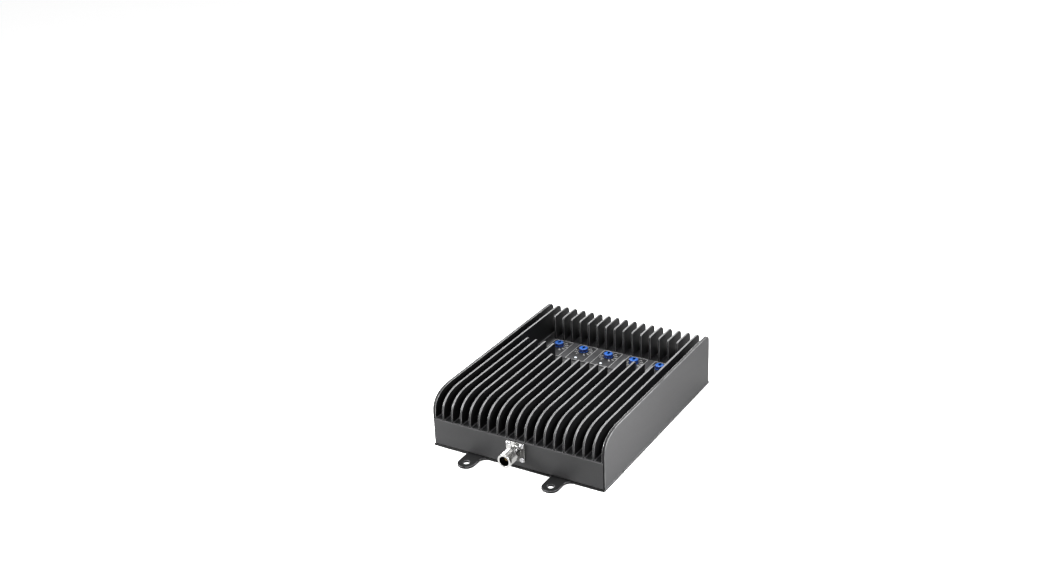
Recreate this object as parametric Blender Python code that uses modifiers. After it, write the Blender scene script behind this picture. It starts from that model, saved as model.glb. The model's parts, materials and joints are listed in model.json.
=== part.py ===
"""Cellular signal booster: a finned amplifier box with five gain dials in a pocket among its fins.

Metres, +Z up, +Y towards the rear panel. The origin is the centre of the bottom plate's underside.
Plan: a comb-shaped extrusion is trimmed to its side profile, pocketed for the dials and closed by
two bent end panels and a flat bottom plate. The circuit board hangs from bosses under the deck.
"""
import math

import bmesh
import bpy

MM = 0.001
GAP = 0.3 * MM  # clearance between neighbouring pieces

# Outside of the case
WIDTH = 212 * MM
LENGTH = 267 * MM
HEIGHT = 64 * MM
DECK_TOP = 34 * MM
DECK_THICK = 4 * MM
WALL_THICK = 3.5 * MM
PANEL_THICK = 1.5 * MM
PANEL_INSET = 1.6 * MM
BOTTOM_THICK = 2.5 * MM
PANEL_FLANGE_DEPTH = 22 * MM

# Fins: the two side walls are the first and the last of the row
FIN_COUNT = 19
FIN_THICK = 2.1 * MM
FIN_ROOT_RADIUS = 2 * MM
CROWN_DEPTH = 40 * MM
CROWN_DROP = 25 * MM
CROWN_FULLNESS = 2.6
REAR_CORNER_RADIUS = 7.5 * MM

# Pocket in the fins, as distances from the case's centre
POCKET_REAR = 96.5 * MM
POCKET_FRONT = 34.5 * MM
NOTCH_FRONT = 10.5 * MM
NOTCH_FINS = 7
POCKET_EXTRA_DEPTH = 0.2 * MM
FIN_END_RADIUS = 2.5 * MM

# Gain dials
DIAL_COUNT = 5
DIAL_PITCH = 33.3 * MM
DIAL_Y = 80.5 * MM
KNOB_RADIUS = 5.5 * MM
KNOB_HEIGHT = 4.6 * MM
KNOB_FLUTES = 10
KNOB_FLUTE_DEPTH = 0.45 * MM
POINTER_SLOT_SIZE = (1.3 * MM, 6 * MM, 2 * MM)
POINTER_SLOT_DEPTH = 0.8 * MM
POINTER_SLOT_OFFSET = 1.6 * MM
SHAFT_RADIUS = 2.4 * MM
SHAFT_START = 3.3 * MM  # height of the shaft's lower end above the board
BUSHING_RADIUS = 3.4 * MM
OVERLAY_THICK = 0.4 * MM
OVERLAY_SIZE = (164 * MM, 40 * MM)
OVERLAY_Y = 75.5 * MM
LIGHT_PIPE_RADIUS = 1.5 * MM
LIGHT_PIPE_OFFSET = (-1 * MM, -18 * MM)

# Mounting ears
EAR_X = 52.2 * MM
EAR_RADIUS = 10 * MM
EAR_REACH = 17.5 * MM
EAR_FLARE = 8.5 * MM
EAR_HOLE_RADIUS = 3.5 * MM

# Aerial sockets, one in each end panel
SOCKET_X = 0.8 * MM
SOCKET_Z = 22.2 * MM
FLANGE_SIZE = 22.4 * MM
FLANGE_THICK = 1.9 * MM
FLANGE_SCREW_PITCH = 16.6 * MM
SPIGOT_RADIUS = 5.5 * MM
SPIGOT_DEPTH = 8 * MM
NECK_RADIUS = 6.8 * MM
THREAD_RADIUS = 7.95 * MM
SOCKET_REACH = 25.2 * MM
MOUTH_RADIUS = 5.6 * MM
MOUTH_FLOOR = 13 * MM
CONTACT_RADIUS = 1.5 * MM

# Power socket in the rear panel
POWER_X = 58 * MM
POWER_RADIUS = 5.6 * MM

# Circuit board and what sits on it
BOARD_SIZE = (184 * MM, 230 * MM)
BOARD_THICK = 1.6 * MM
BOARD_BOTTOM = 18.4 * MM
BOARD_BOSS = (82 * MM, 105 * MM)
BOARD_BOSS_RADIUS = 3.5 * MM
CASE_BOSS = (98.5 * MM, 118 * MM)
CASE_BOSS_RADIUS = 5 * MM
AMPLIFIER_SIZE = (40 * MM, 22 * MM, 3.7 * MM)
AMPLIFIER_PLACE = (45 * MM, -30 * MM)
THERMAL_PAD_THICK = 0.9 * MM
SHIELD_SIZE = (78 * MM, 66 * MM, 10 * MM)
SHIELD_THICK = 0.8 * MM
FILTER_SIZE = (62 * MM, 28 * MM, 8.5 * MM)
ATTENUATOR_SIZE = (12 * MM, 12 * MM, 6.8 * MM)
LAMP_SIZE = (2 * MM, 1.2 * MM, 1.2 * MM)
HEADER_SIZE = (5 * MM, 4 * MM, 4 * MM)
HEADER_Y = 97 * MM
SUPPLY_Y = 100 * MM
CAPACITOR_COUNT = 4
SOLDER_SINK = 0.4 * MM  # how far a soldered part reaches into the board's solid

# Screws: shank radius, head radius, head height, length under the head
FLANGE_SCREW = (1.35 * MM, 2.7 * MM, 1.9 * MM, 3.9 * MM)
BOARD_SCREW = (1.3 * MM, 2.7 * MM, 1.6 * MM, 8 * MM)
CASE_SCREW = (1.5 * MM, 3 * MM, 1.9 * MM, 12 * MM)

# Heights that follow from the sizes above
DECK_UNDER = DECK_TOP - DECK_THICK
HOUSING_BOTTOM = BOTTOM_THICK + GAP
FLANGE_TOP = HOUSING_BOTTOM + PANEL_THICK
BOARD_TOP = BOARD_BOTTOM + BOARD_THICK
POCKET_FLOOR = DECK_TOP - POCKET_EXTRA_DEPTH
OVERLAY_TOP = POCKET_FLOOR + GAP + OVERLAY_THICK
KNOB_BOTTOM = OVERLAY_TOP + GAP
FIN_PITCH = (WIDTH - WALL_THICK) / (FIN_COUNT - 1)
DIAL_XS = [(i - (DIAL_COUNT - 1) / 2) * DIAL_PITCH for i in range(DIAL_COUNT)]
CORNERS = [(-1, -1), (1, -1), (1, 1), (-1, 1)]

# Turns that carry a flat outline, drawn in X and Y, onto another plane
FACE_FORWARD = (math.radians(90), 0, 0)
FACE_SIDEWAYS = (math.radians(90), 0, math.radians(90))

materials = {}


def clear_scene():
    for obj in list(bpy.data.objects):
        bpy.data.objects.remove(obj)


def make_collection(name, hidden):
    collection = bpy.data.collections.new(name)
    collection.hide_render = hidden
    bpy.context.scene.collection.children.link(collection)
    return collection


def define_material(name, colour, roughness, metallic):
    """A Principled material, kept by name."""
    material = bpy.data.materials.new(name)
    material.use_nodes = True
    shader = material.node_tree.nodes["Principled BSDF"]
    shader.inputs["Base Color"].default_value = (*colour, 1)
    shader.inputs["Roughness"].default_value = roughness
    shader.inputs["Metallic"].default_value = metallic
    material.diffuse_color = (*colour, 1)
    materials[name] = material


def place(obj, location, rotation=(0, 0, 0), material=None):
    """Put an object in the parts collection, or among the cutters if it has no material."""
    obj.location = location
    obj.rotation_euler = rotation
    if material:
        parts.objects.link(obj)
        obj.data.materials.append(materials[material])
    else:
        cutters.objects.link(obj)
        obj.hide_render = True
        obj.display_type = "WIRE"
    return obj


def shade(mesh):
    mesh.shade_smooth()
    mesh.set_sharp_from_angle(angle=math.radians(35))


def box(name, low, high, material=None):
    """A box between two corners, with its origin at its centre."""
    mesh = bpy.data.meshes.new(name)
    shape = bmesh.new()
    bmesh.ops.create_cube(shape, size=1)
    bmesh.ops.scale(shape, vec=[b - a for a, b in zip(low, high)], verts=shape.verts)
    shape.to_mesh(mesh)
    shape.free()
    centre = [(a + b) / 2 for a, b in zip(low, high)]
    return place(bpy.data.objects.new(name, mesh), centre, material=material)


def block(name, x, y, bottom, size, material=None):
    """A box centred on x and y that stands on the height `bottom`."""
    low = (x - size[0] / 2, y - size[1] / 2, bottom)
    high = (x + size[0] / 2, y + size[1] / 2, bottom + size[2])
    return box(name, low, high, material)


def rod(name, x, y, bottom, top, radius, material=None, segments=16):
    """An upright cylinder."""
    mesh = bpy.data.meshes.new(name)
    shape = bmesh.new()
    bmesh.ops.create_cone(
        shape, cap_ends=True, segments=segments, depth=top - bottom,
        radius1=radius, radius2=radius,
    )
    shape.to_mesh(mesh)
    shape.free()
    shade(mesh)
    return place(bpy.data.objects.new(name, mesh), (x, y, (bottom + top) / 2), material=material)


def drill(target, name, x, y, bottom, top, radius):
    """A narrow upright hole through a piece."""
    combine(target, "DIFFERENCE", rod(name, x, y, bottom, top, radius, segments=12))


def turned(name, profile, location, rotation=(0, 0, 0), material=None, closed=False, steps=16):
    """A profile of (radius, height) points, outer side from top to bottom, spun about local Z."""
    mesh = bpy.data.meshes.new(name)
    count = len(profile)
    edges = [(i, i + 1) for i in range(count - 1)] + ([(count - 1, 0)] if closed else [])
    mesh.from_pydata([(radius, 0, height) for radius, height in profile], edges, [])
    obj = place(bpy.data.objects.new(name, mesh), location, rotation, material)
    spin = obj.modifiers.new("spin", "SCREW")
    spin.steps = spin.render_steps = steps
    spin.use_merge_vertices = True
    spin.merge_threshold = 0.02 * MM
    return obj


def outlined(name, outlines, thickness, location, rotation=(0, 0, 0), material=None):
    """Closed flat outlines, the first the outside and the rest holes, given a thickness."""
    curve = bpy.data.curves.new(name, "CURVE")
    curve.dimensions = "2D"
    curve.fill_mode = "BOTH"
    curve.extrude = thickness / 2
    for outline in outlines:
        spline = curve.splines.new("POLY")
        spline.points.add(len(outline) - 1)
        for point, (x, y) in zip(spline.points, outline):
            point.co = (x, y, 0, 1)
        spline.use_cyclic_u = True
    return meshed(name, curve, location, rotation, material)


def meshed(name, curve, location, rotation, material):
    """The welded mesh of a curve, which can then be cut and joined."""
    drawn = bpy.data.objects.new(name + "_curve", curve)
    bpy.context.scene.collection.objects.link(drawn)
    graph = bpy.context.evaluated_depsgraph_get()
    mesh = bpy.data.meshes.new_from_object(drawn.evaluated_get(graph))
    bpy.data.objects.remove(drawn)
    mesh.name = name
    mesh.materials.clear()
    shape = bmesh.new()
    shape.from_mesh(mesh)
    bmesh.ops.remove_doubles(shape, verts=shape.verts, dist=0.001 * MM)
    bmesh.ops.recalc_face_normals(shape, faces=shape.faces)
    shape.to_mesh(mesh)
    shape.free()
    shade(mesh)
    return place(bpy.data.objects.new(name, mesh), location, rotation, material)


def combine(target, operation, *others):
    for other in others:
        step = target.modifiers.new(other.name, "BOOLEAN")
        step.operation = operation
        step.object = other


def arc(centre, radii, start, end, steps):
    """Points on an elliptical arc between two angles in degrees."""
    angles = [math.radians(start + (end - start) * i / steps) for i in range(steps + 1)]
    return [
        (centre[0] + radii[0] * math.cos(a), centre[1] + radii[1] * math.sin(a)) for a in angles
    ]


def full_arc(centre, radii, fullness, steps):
    """Points from the left end to the top of an ellipse whose shoulder is fuller than a round one's."""
    points = []
    for i in range(steps + 1):
        angle = math.pi / 2 * i / steps
        across = max(0, math.cos(angle)) ** (2 / fullness)
        up = math.sin(angle) ** (2 / fullness)
        points.append((centre[0] - radii[0] * across, centre[1] + radii[1] * up))
    return points


def circle(centre, radius, steps=16):
    return arc(centre, (radius, radius), 0, 360, steps)[:-1]


def rounded_rectangle(centre, size, radius, steps=3):
    points = []
    for quarter, (side_x, side_y) in enumerate([(1, 1), (-1, 1), (-1, -1), (1, -1)]):
        corner = (
            centre[0] + side_x * (size[0] / 2 - radius),
            centre[1] + side_y * (size[1] / 2 - radius),
        )
        points += arc(corner, (radius, radius), 90 * quarter, 90 * quarter + 90, steps)
    return points


# ---------------------------------------------------------------- case


def fin_spans():
    """Left and right face of every fin, with the thicker side walls at both ends."""
    edge = WIDTH / 2
    middle = (FIN_COUNT - 1) // 2
    inner = [i * FIN_PITCH for i in range(1 - middle, middle)]
    spans = [(x - FIN_THICK / 2, x + FIN_THICK / 2) for x in inner]
    return [(-edge, WALL_THICK - edge), *spans, (edge - WALL_THICK, edge)]


def comb_outline():
    """Cross-section of the extrusion: fins above the deck, side walls below it."""
    spans = fin_spans()
    root = FIN_ROOT_RADIUS
    points = [(spans[0][0], HOUSING_BOTTOM), (spans[0][0], HEIGHT)]
    for (_, left), (right, _) in zip(spans, spans[1:]):
        points.append((left, HEIGHT))
        points += arc((left + root, DECK_TOP + root), (root, root), 180, 270, 2)
        points += arc((right - root, DECK_TOP + root), (root, root), 270, 360, 2)
        points.append((right, HEIGHT))
    points += [(spans[-1][1], HEIGHT), (spans[-1][1], HOUSING_BOTTOM)]
    inside = WIDTH / 2 - WALL_THICK
    points += [(inside, HOUSING_BOTTOM), (inside, DECK_UNDER)]
    points += [(-inside, DECK_UNDER), (-inside, HOUSING_BOTTOM)]
    return points


def side_outline():
    """What the extrusion keeps, seen from the side: a long curved front and a small rear corner."""
    end = LENGTH / 2 - PANEL_THICK - GAP
    below = -HEIGHT
    centre = (CROWN_DEPTH - end, HEIGHT - CROWN_DROP)
    crown = full_arc(centre, (CROWN_DEPTH, CROWN_DROP), CROWN_FULLNESS, 8)
    corner = REAR_CORNER_RADIUS
    rear = arc((end - corner, HEIGHT - corner), (corner, corner), 90, 0, 4)
    return [(-end, below), *crown, *rear, (end, below)]


def pocket_outline(front, rear):
    """Side view of a pocket whose walls round over into the fin tops."""
    radius = FIN_END_RADIUS
    above = HEIGHT + 2 * radius
    left = arc((front - radius, HEIGHT - radius), (radius, radius), 0, 90, 3)
    right = arc((rear + radius, HEIGHT - radius), (radius, radius), 90, 180, 3)
    outer = [(rear + radius, above), (front - radius, above)]
    return [(front, POCKET_FLOOR), *left, *outer[::-1], *right, (rear, POCKET_FLOOR)]


def make_housing():
    comb = [comb_outline()]
    housing = outlined("finned_housing", comb, 1.1 * LENGTH, (0, 0, 0), FACE_FORWARD, "black_aluminium")
    keep = outlined("side_profile", [side_outline()], 2 * WIDTH, (0, 0, 0), FACE_SIDEWAYS)
    combine(housing, "INTERSECT", keep)

    middle = (FIN_COUNT - 1) // 2
    pocket_width = 2 * ((middle - 1) * FIN_PITCH - FIN_THICK / 2 - FIN_ROOT_RADIUS)
    pocket = pocket_outline(POCKET_FRONT, POCKET_REAR)
    notch = pocket_outline(NOTCH_FRONT, POCKET_FRONT + FIN_PITCH)
    combine(
        housing, "DIFFERENCE",
        outlined("dial_pocket", [pocket], pocket_width, (0, 0, 0), FACE_SIDEWAYS),
        outlined("front_notch", [notch], NOTCH_FINS * FIN_PITCH, (0, 0, 0), FACE_SIDEWAYS),
    )
    add_bosses(housing)
    for number, x in enumerate(DIAL_XS, 1):
        pipe_x, pipe_y = light_pipe_place(x)
        below = DECK_UNDER - MM
        opening = rod(f"bushing_hole_{number}", x, DIAL_Y, below, HEIGHT, BUSHING_RADIUS + GAP)
        combine(housing, "DIFFERENCE", opening)
        drill(housing, f"pipe_hole_{number}", pipe_x, pipe_y, below, HEIGHT, LIGHT_PIPE_RADIUS + GAP)


def add_bosses(housing):
    """Screw bosses and heat pedestals that hang from the deck, sunk into it to join."""
    sink = DECK_UNDER + 0.5 * MM
    pedestal_bottom = BOARD_TOP + GAP + AMPLIFIER_SIZE[2] + GAP + THERMAL_PAD_THICK + GAP
    for side in (-1, 1):
        x, y = side * AMPLIFIER_PLACE[0], AMPLIFIER_PLACE[1]
        size = (AMPLIFIER_SIZE[0] + 4 * MM, AMPLIFIER_SIZE[1] + 4 * MM, sink - pedestal_bottom)
        combine(housing, "UNION", block(f"pedestal_{side}", x, y, pedestal_bottom, size))
    for number, (side_x, side_y) in enumerate(CORNERS, 1):
        for name, spread, bottom, radius, screw in (
            ("case", CASE_BOSS, FLANGE_TOP + GAP, CASE_BOSS_RADIUS, CASE_SCREW),
            ("board", BOARD_BOSS, BOARD_TOP + GAP, BOARD_BOSS_RADIUS, BOARD_SCREW),
        ):
            x, y = side_x * spread[0], side_y * spread[1]
            shank, _, _, length = screw
            combine(housing, "UNION", rod(f"{name}_boss_{number}", x, y, bottom, sink, radius))
            drill(housing, f"{name}_boss_hole_{number}", x, y, 0, bottom + length, shank + GAP)


def make_panel(name, side):
    """An end panel bent inwards at the bottom, where the case screws clamp it."""
    outer = side * LENGTH / 2
    inner = outer - side * PANEL_THICK
    reach = outer - side * PANEL_FLANGE_DEPTH
    bend = [(outer, FLANGE_TOP), *arc(
        (outer - side * PANEL_THICK, FLANGE_TOP), (side * PANEL_THICK, PANEL_THICK), 0, -90, 3
    )]
    outline = [
        (outer, DECK_TOP), *bend, (reach, HOUSING_BOTTOM), (reach, FLANGE_TOP),
        (inner, FLANGE_TOP), (inner, DECK_TOP),
    ]
    width = WIDTH - 2 * PANEL_INSET
    panel = outlined(name, [outline], width, (0, 0, 0), FACE_SIDEWAYS, "charcoal_paint")
    between_walls = WIDTH / 2 - WALL_THICK - GAP
    for end in (-1, 1):
        xs = sorted((end * between_walls, end * WIDTH))
        ys = sorted((inner, reach - side * MM))
        relief = box(f"{name}_relief_{end}", (xs[0], ys[0], 0), (xs[1], ys[1], FLANGE_TOP + MM))
        boss_x, boss_y = end * CASE_BOSS[0], side * CASE_BOSS[1]
        combine(panel, "DIFFERENCE", relief)
        drill(panel, f"{name}_hole_{end}", boss_x, boss_y, 0, 2 * FLANGE_TOP, CASE_SCREW[0] + GAP)
    combine(panel, "DIFFERENCE", *socket_cutters(name, side, SPIGOT_RADIUS + GAP))
    return panel


def ear_outline(x, sink):
    """One ear on the front edge, straight on its left side and flared on its right."""
    edge = -LENGTH / 2
    left, right = x - EAR_RADIUS, x + EAR_RADIUS
    tip = arc((x, edge - EAR_REACH), (EAR_RADIUS, EAR_RADIUS), 180, 360, 10)
    flare = arc((right + EAR_FLARE, edge - EAR_FLARE), (EAR_FLARE, EAR_FLARE), 180, 90, 4)
    return [(left, edge + sink), *tip, *flare, (right + EAR_FLARE, edge + sink)]


def make_bottom_plate():
    """A flat plate with two ears on each end; the rear ears are the front ones turned half round."""
    size = (WIDTH, LENGTH, BOTTOM_THICK)
    plate = block("bottom_plate", 0, 0, 0, size, "charcoal_paint")
    sink = 3 * MM
    for number, (end, x) in enumerate([(0, -EAR_X), (0, EAR_X), (180, -EAR_X), (180, EAR_X)], 1):
        outline = ear_outline(x, sink)
        turn = (0, 0, math.radians(end))
        ear = outlined(f"ear_{number}", [outline], BOTTOM_THICK, (0, 0, BOTTOM_THICK / 2), turn)
        combine(plate, "UNION", ear)
    shank, head, head_height, _ = CASE_SCREW
    narrow, wide = shank + GAP, head + GAP
    countersink = [
        (0, 2 * BOTTOM_THICK), (narrow, 2 * BOTTOM_THICK), (narrow, head_height + GAP),
        (wide, GAP), (wide, -MM), (0, -MM),
    ]
    for number, (side_x, side_y) in enumerate(CORNERS, 1):
        ear_x, ear_y = side_x * EAR_X, side_y * (LENGTH / 2 + EAR_REACH)
        drill(plate, f"ear_hole_{number}", ear_x, ear_y, -MM, 2 * BOTTOM_THICK, EAR_HOLE_RADIUS)
        boss_place = (side_x * CASE_BOSS[0], side_y * CASE_BOSS[1], 0)
        combine(plate, "DIFFERENCE", turned(f"countersink_{number}", countersink, boss_place, steps=12))


# ---------------------------------------------------------------- dials


def light_pipe_place(dial_x):
    return dial_x + LIGHT_PIPE_OFFSET[0], DIAL_Y + LIGHT_PIPE_OFFSET[1]


def make_overlay():
    """The printed dial sheet on the pocket's floor, with its openings."""
    openings = []
    for x in DIAL_XS:
        openings.append(circle((x, DIAL_Y), BUSHING_RADIUS + 2 * GAP, 12))
        openings.append(circle(light_pipe_place(x), LIGHT_PIPE_RADIUS + GAP, 8))
    outside = rounded_rectangle((0, OVERLAY_Y), OVERLAY_SIZE, 2 * MM)
    centre = (0, 0, OVERLAY_TOP - OVERLAY_THICK / 2)
    outlined("dial_overlay", [outside, *openings], OVERLAY_THICK, centre, material="dial_print")


def knob_outline():
    """A circle whose edge dips once for each flute."""
    steps = 4 * KNOB_FLUTES
    points = []
    for i in range(steps):
        angle = 2 * math.pi * i / steps
        radius = KNOB_RADIUS - KNOB_FLUTE_DEPTH * (1 - math.cos(KNOB_FLUTES * angle)) / 2
        points.append((radius * math.cos(angle), radius * math.sin(angle)))
    return points


def make_knob(number, x):
    """A push-on knob and the D-shaped shaft that it turns, both with origins on the axis."""
    top = KNOB_BOTTOM + KNOB_HEIGHT
    shaft_top = top - 1.6 * MM
    centre = (x, DIAL_Y, KNOB_BOTTOM + KNOB_HEIGHT / 2)
    outline = [knob_outline()]
    knob = outlined(f"gain_knob_{number}", outline, KNOB_HEIGHT, centre, material="blue_plastic")
    bore = rod(f"knob_bore_{number}", x, DIAL_Y, 0, shaft_top + GAP, SHAFT_RADIUS + GAP)
    slot_bottom = top - POINTER_SLOT_DEPTH
    slot = block(f"pointer_slot_{number}", x, DIAL_Y + POINTER_SLOT_OFFSET, slot_bottom, POINTER_SLOT_SIZE)
    combine(knob, "DIFFERENCE", bore, slot)
    shaft_bottom = BOARD_TOP + SHAFT_START
    shaft = rod(f"dial_shaft_{number}", x, DIAL_Y, shaft_bottom, shaft_top, SHAFT_RADIUS, "bright_steel")
    flat = (x, DIAL_Y - SHAFT_RADIUS, KNOB_BOTTOM)
    flat_size = (3 * SHAFT_RADIUS, 1.2 * MM, KNOB_HEIGHT)
    combine(shaft, "DIFFERENCE", block(f"shaft_flat_{number}", *flat, flat_size))


def make_attenuator(number, x):
    """The rotary attenuator on the board: a square body with a bushing that passes the deck."""
    bottom = BOARD_TOP + GAP
    body = block(f"attenuator_{number}", x, DIAL_Y, bottom, ATTENUATOR_SIZE, "dark_plastic")
    middle = bottom + ATTENUATOR_SIZE[2] / 2
    bushing = rod(f"bushing_{number}", x, DIAL_Y, middle, POCKET_FLOOR - 2 * GAP, BUSHING_RADIUS)
    combine(body, "UNION", bushing)
    bore_bottom = BOARD_TOP + SHAFT_START - GAP
    bore = rod(f"bushing_bore_{number}", x, DIAL_Y, bore_bottom, HEIGHT, SHAFT_RADIUS + GAP)
    combine(body, "DIFFERENCE", bore)


def make_light_pipe(number, x):
    """A clear rod with a domed end that carries a status lamp up to the overlay."""
    pipe_x, pipe_y = light_pipe_place(x)
    bottom = BOARD_TOP + 1.3 * MM
    top = OVERLAY_TOP + 2 * GAP
    radius = LIGHT_PIPE_RADIUS
    dome = arc((0, top - bottom - radius / 2), (radius, radius / 2), 90, 0, 3)[1:]
    profile = [(0, top - bottom), *dome, (radius, 0), (0, 0)]
    turned(f"light_pipe_{number}", profile, (pipe_x, pipe_y, bottom), material="clear_plastic", steps=12)


# ---------------------------------------------------------------- screws


def pan_screw(name, screw, location, rotation=(0, 0, 0)):
    """A pan-head screw with its seat at its origin and its head along local +Z."""
    shank, head, head_height, length = screw
    profile = [
        (0, head_height), (0.75 * head, head_height), (head, 0.4 * head_height),
        (head, 0), (shank, 0), (shank, -length), (0, -length),
    ]
    turned(name, profile, location, rotation, "bright_steel", steps=10)


def countersunk_screw(name, location):
    """A flat-head screw that points up, with its head's face at its origin."""
    shank, head, head_height, length = CASE_SCREW
    profile = [(0, length), (shank, length), (shank, head_height), (head, 0), (0, 0)]
    turned(name, profile, location, material="black_steel", steps=10)


# ---------------------------------------------------------------- sockets


def socket_frame(side):
    """Location and rotation that point local +Z out of an end panel, origin on its outer face."""
    turn = math.radians(-90 * side)
    return (SOCKET_X, side * LENGTH / 2, SOCKET_Z), (turn, 0, 0)


def socket_cutters(name, side, spigot):
    """Openings that a socket needs: one for its spigot and four for its screws."""
    location, rotation = socket_frame(side)
    through = 3 * FLANGE_THICK
    cuts = [turned(
        f"{name}_spigot_hole", [(0, through), (spigot, through), (spigot, -through), (0, -through)],
        location, rotation,
    )]
    for number, (side_x, side_y) in enumerate(CORNERS, 1):
        place_x = location[0] + side_x * FLANGE_SCREW_PITCH / 2
        place_z = location[2] + side_y * FLANGE_SCREW_PITCH / 2
        radius = FLANGE_SCREW[0] + GAP
        profile = [(0, through), (radius, through), (radius, -through), (0, -through)]
        cuts.append(turned(
            f"{name}_screw_hole_{number}", profile, (place_x, location[1], place_z), rotation, steps=12
        ))
    return cuts


def make_socket(name, side):
    """A flanged threaded coaxial socket: shell, insulator, contact and four screws."""
    location, rotation = socket_frame(side)
    seat = GAP
    flange_top = seat + FLANGE_THICK
    groove = THREAD_RADIUS - 0.9 * MM
    inner = 4.1 * MM
    profile = [
        (MOUTH_RADIUS, SOCKET_REACH), (THREAD_RADIUS, SOCKET_REACH),
        (THREAD_RADIUS, SOCKET_REACH - 2.2 * MM), (groove, SOCKET_REACH - 2.7 * MM),
        (groove, SOCKET_REACH - 3.4 * MM), (THREAD_RADIUS, SOCKET_REACH - 3.9 * MM),
        (THREAD_RADIUS, 11 * MM), (NECK_RADIUS, 10 * MM),
        (NECK_RADIUS, flange_top - 0.5 * MM), (SPIGOT_RADIUS, seat + 0.5 * MM),
        (SPIGOT_RADIUS, -SPIGOT_DEPTH), (inner, -SPIGOT_DEPTH), (inner, MOUTH_FLOOR),
        (MOUTH_RADIUS, MOUTH_FLOOR),
    ]
    shell = turned(f"{name}_shell", profile, location, rotation, "nickel", closed=True)
    square = rounded_rectangle((0, 0), (FLANGE_SIZE, FLANGE_SIZE), 1.5 * MM)
    ring = circle((0, 0), SPIGOT_RADIUS - 0.5 * MM)
    flange_y = location[1] + side * (seat + FLANGE_THICK / 2)
    flange = outlined(
        f"{name}_flange", [square, ring], FLANGE_THICK, (location[0], flange_y, location[2]), rotation
    )
    combine(shell, "UNION", flange)
    combine(shell, "DIFFERENCE", *socket_cutters(f"{name}_flange", side, inner)[1:])

    bore = CONTACT_RADIUS + GAP
    insulator = [
        (bore, MOUTH_FLOOR - MM), (inner - GAP, MOUTH_FLOOR - MM),
        (inner - GAP, -SPIGOT_DEPTH), (bore, -SPIGOT_DEPTH),
    ]
    turned(f"{name}_insulator", insulator, location, rotation, "white_ptfe", closed=True, steps=16)
    tip = SOCKET_REACH - 5 * MM
    hole = 0.85 * MM
    contact = [
        (hole, tip), (CONTACT_RADIUS, tip), (CONTACT_RADIUS, -SPIGOT_DEPTH - 3 * MM),
        (0, -SPIGOT_DEPTH - 3 * MM), (0, tip - 5 * MM), (hole, tip - 5 * MM),
    ]
    turned(f"{name}_contact", contact, location, rotation, "gold_plate", closed=True, steps=12)

    for number, (side_x, side_y) in enumerate(CORNERS, 1):
        seat_place = (
            location[0] + side_x * FLANGE_SCREW_PITCH / 2,
            location[1] + side * (flange_top + GAP),
            location[2] + side_y * FLANGE_SCREW_PITCH / 2,
        )
        pan_screw(f"{name}_screw_{number}", FLANGE_SCREW, seat_place, rotation)


def make_power_socket(panel):
    """The round direct-current socket in the rear panel, with its centre pin."""
    location = (POWER_X, LENGTH / 2, SOCKET_Z)
    rotation = socket_frame(1)[1]
    bezel, mouth, pin = POWER_RADIUS + 1.6 * MM, 3.1 * MM, 1.05 * MM
    reach, depth, floor = 2.4 * MM, 13 * MM, -8 * MM
    profile = [
        (0, reach - MM), (0.6 * pin, reach - MM), (pin, reach - 1.4 * MM), (pin, floor),
        (mouth, floor), (mouth, reach), (bezel - 0.5 * MM, reach), (bezel, reach - 0.6 * MM),
        (bezel, GAP), (POWER_RADIUS, GAP), (POWER_RADIUS, -depth), (0, -depth),
    ]
    turned("power_socket", profile, location, rotation, "dark_plastic")
    radius = POWER_RADIUS + GAP
    opening = [(0, depth), (radius, depth), (radius, -depth), (0, -depth)]
    combine(panel, "DIFFERENCE", turned("power_opening", opening, location, rotation))


# ---------------------------------------------------------------- electronics


def make_board():
    """The circuit board with its lamps, power parts and coaxial headers soldered on."""
    low = (-BOARD_SIZE[0] / 2, -BOARD_SIZE[1] / 2, BOARD_BOTTOM)
    high = (BOARD_SIZE[0] / 2, BOARD_SIZE[1] / 2, BOARD_TOP)
    board = box("circuit_board", low, high, "board_green")
    sink = BOARD_TOP - SOLDER_SINK
    soldered = [block("inductor", POWER_X / 2, SUPPLY_Y, sink, (10 * MM, 10 * MM, 5 * MM))]
    for number, x in enumerate(DIAL_XS, 1):
        soldered.append(block(f"lamp_{number}", *light_pipe_place(x), sink, LAMP_SIZE))
    for number in range(CAPACITOR_COUNT):
        x = POWER_X + (number - (CAPACITOR_COUNT - 1) / 2) * 9 * MM
        top = BOARD_TOP + 7 * MM
        soldered.append(rod(f"capacitor_{number}", x, SUPPLY_Y, sink, top, 3 * MM, segments=12))
    for side in (-1, 1):
        soldered.append(block(f"header_{side}", SOCKET_X, side * HEADER_Y, sink, HEADER_SIZE))
    combine(board, "UNION", *soldered)
    for number, (side_x, side_y) in enumerate(CORNERS, 1):
        x, y = side_x * BOARD_BOSS[0], side_y * BOARD_BOSS[1]
        drill(board, f"board_hole_{number}", x, y, 0, HEIGHT, BOARD_SCREW[0] + GAP)


def make_amplifier(name, side):
    """A power amplifier module and the soft pad that carries its heat to the deck."""
    x, y = side * AMPLIFIER_PLACE[0], AMPLIFIER_PLACE[1]
    bottom = BOARD_TOP + GAP
    width, depth, height = AMPLIFIER_SIZE
    module = block(f"{name}_amplifier", x, y, bottom, (width, depth, 0.4 * height), "gold_plate")
    lid = block(f"{name}_lid", x, y, bottom + 0.3 * height, (0.7 * width, 0.9 * depth, 0.7 * height))
    combine(module, "UNION", lid)
    pad_size = (0.7 * width, 0.9 * depth, THERMAL_PAD_THICK)
    block(f"{name}_thermal_pad", x, y, bottom + height + GAP, pad_size, "grey_silicone")


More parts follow.
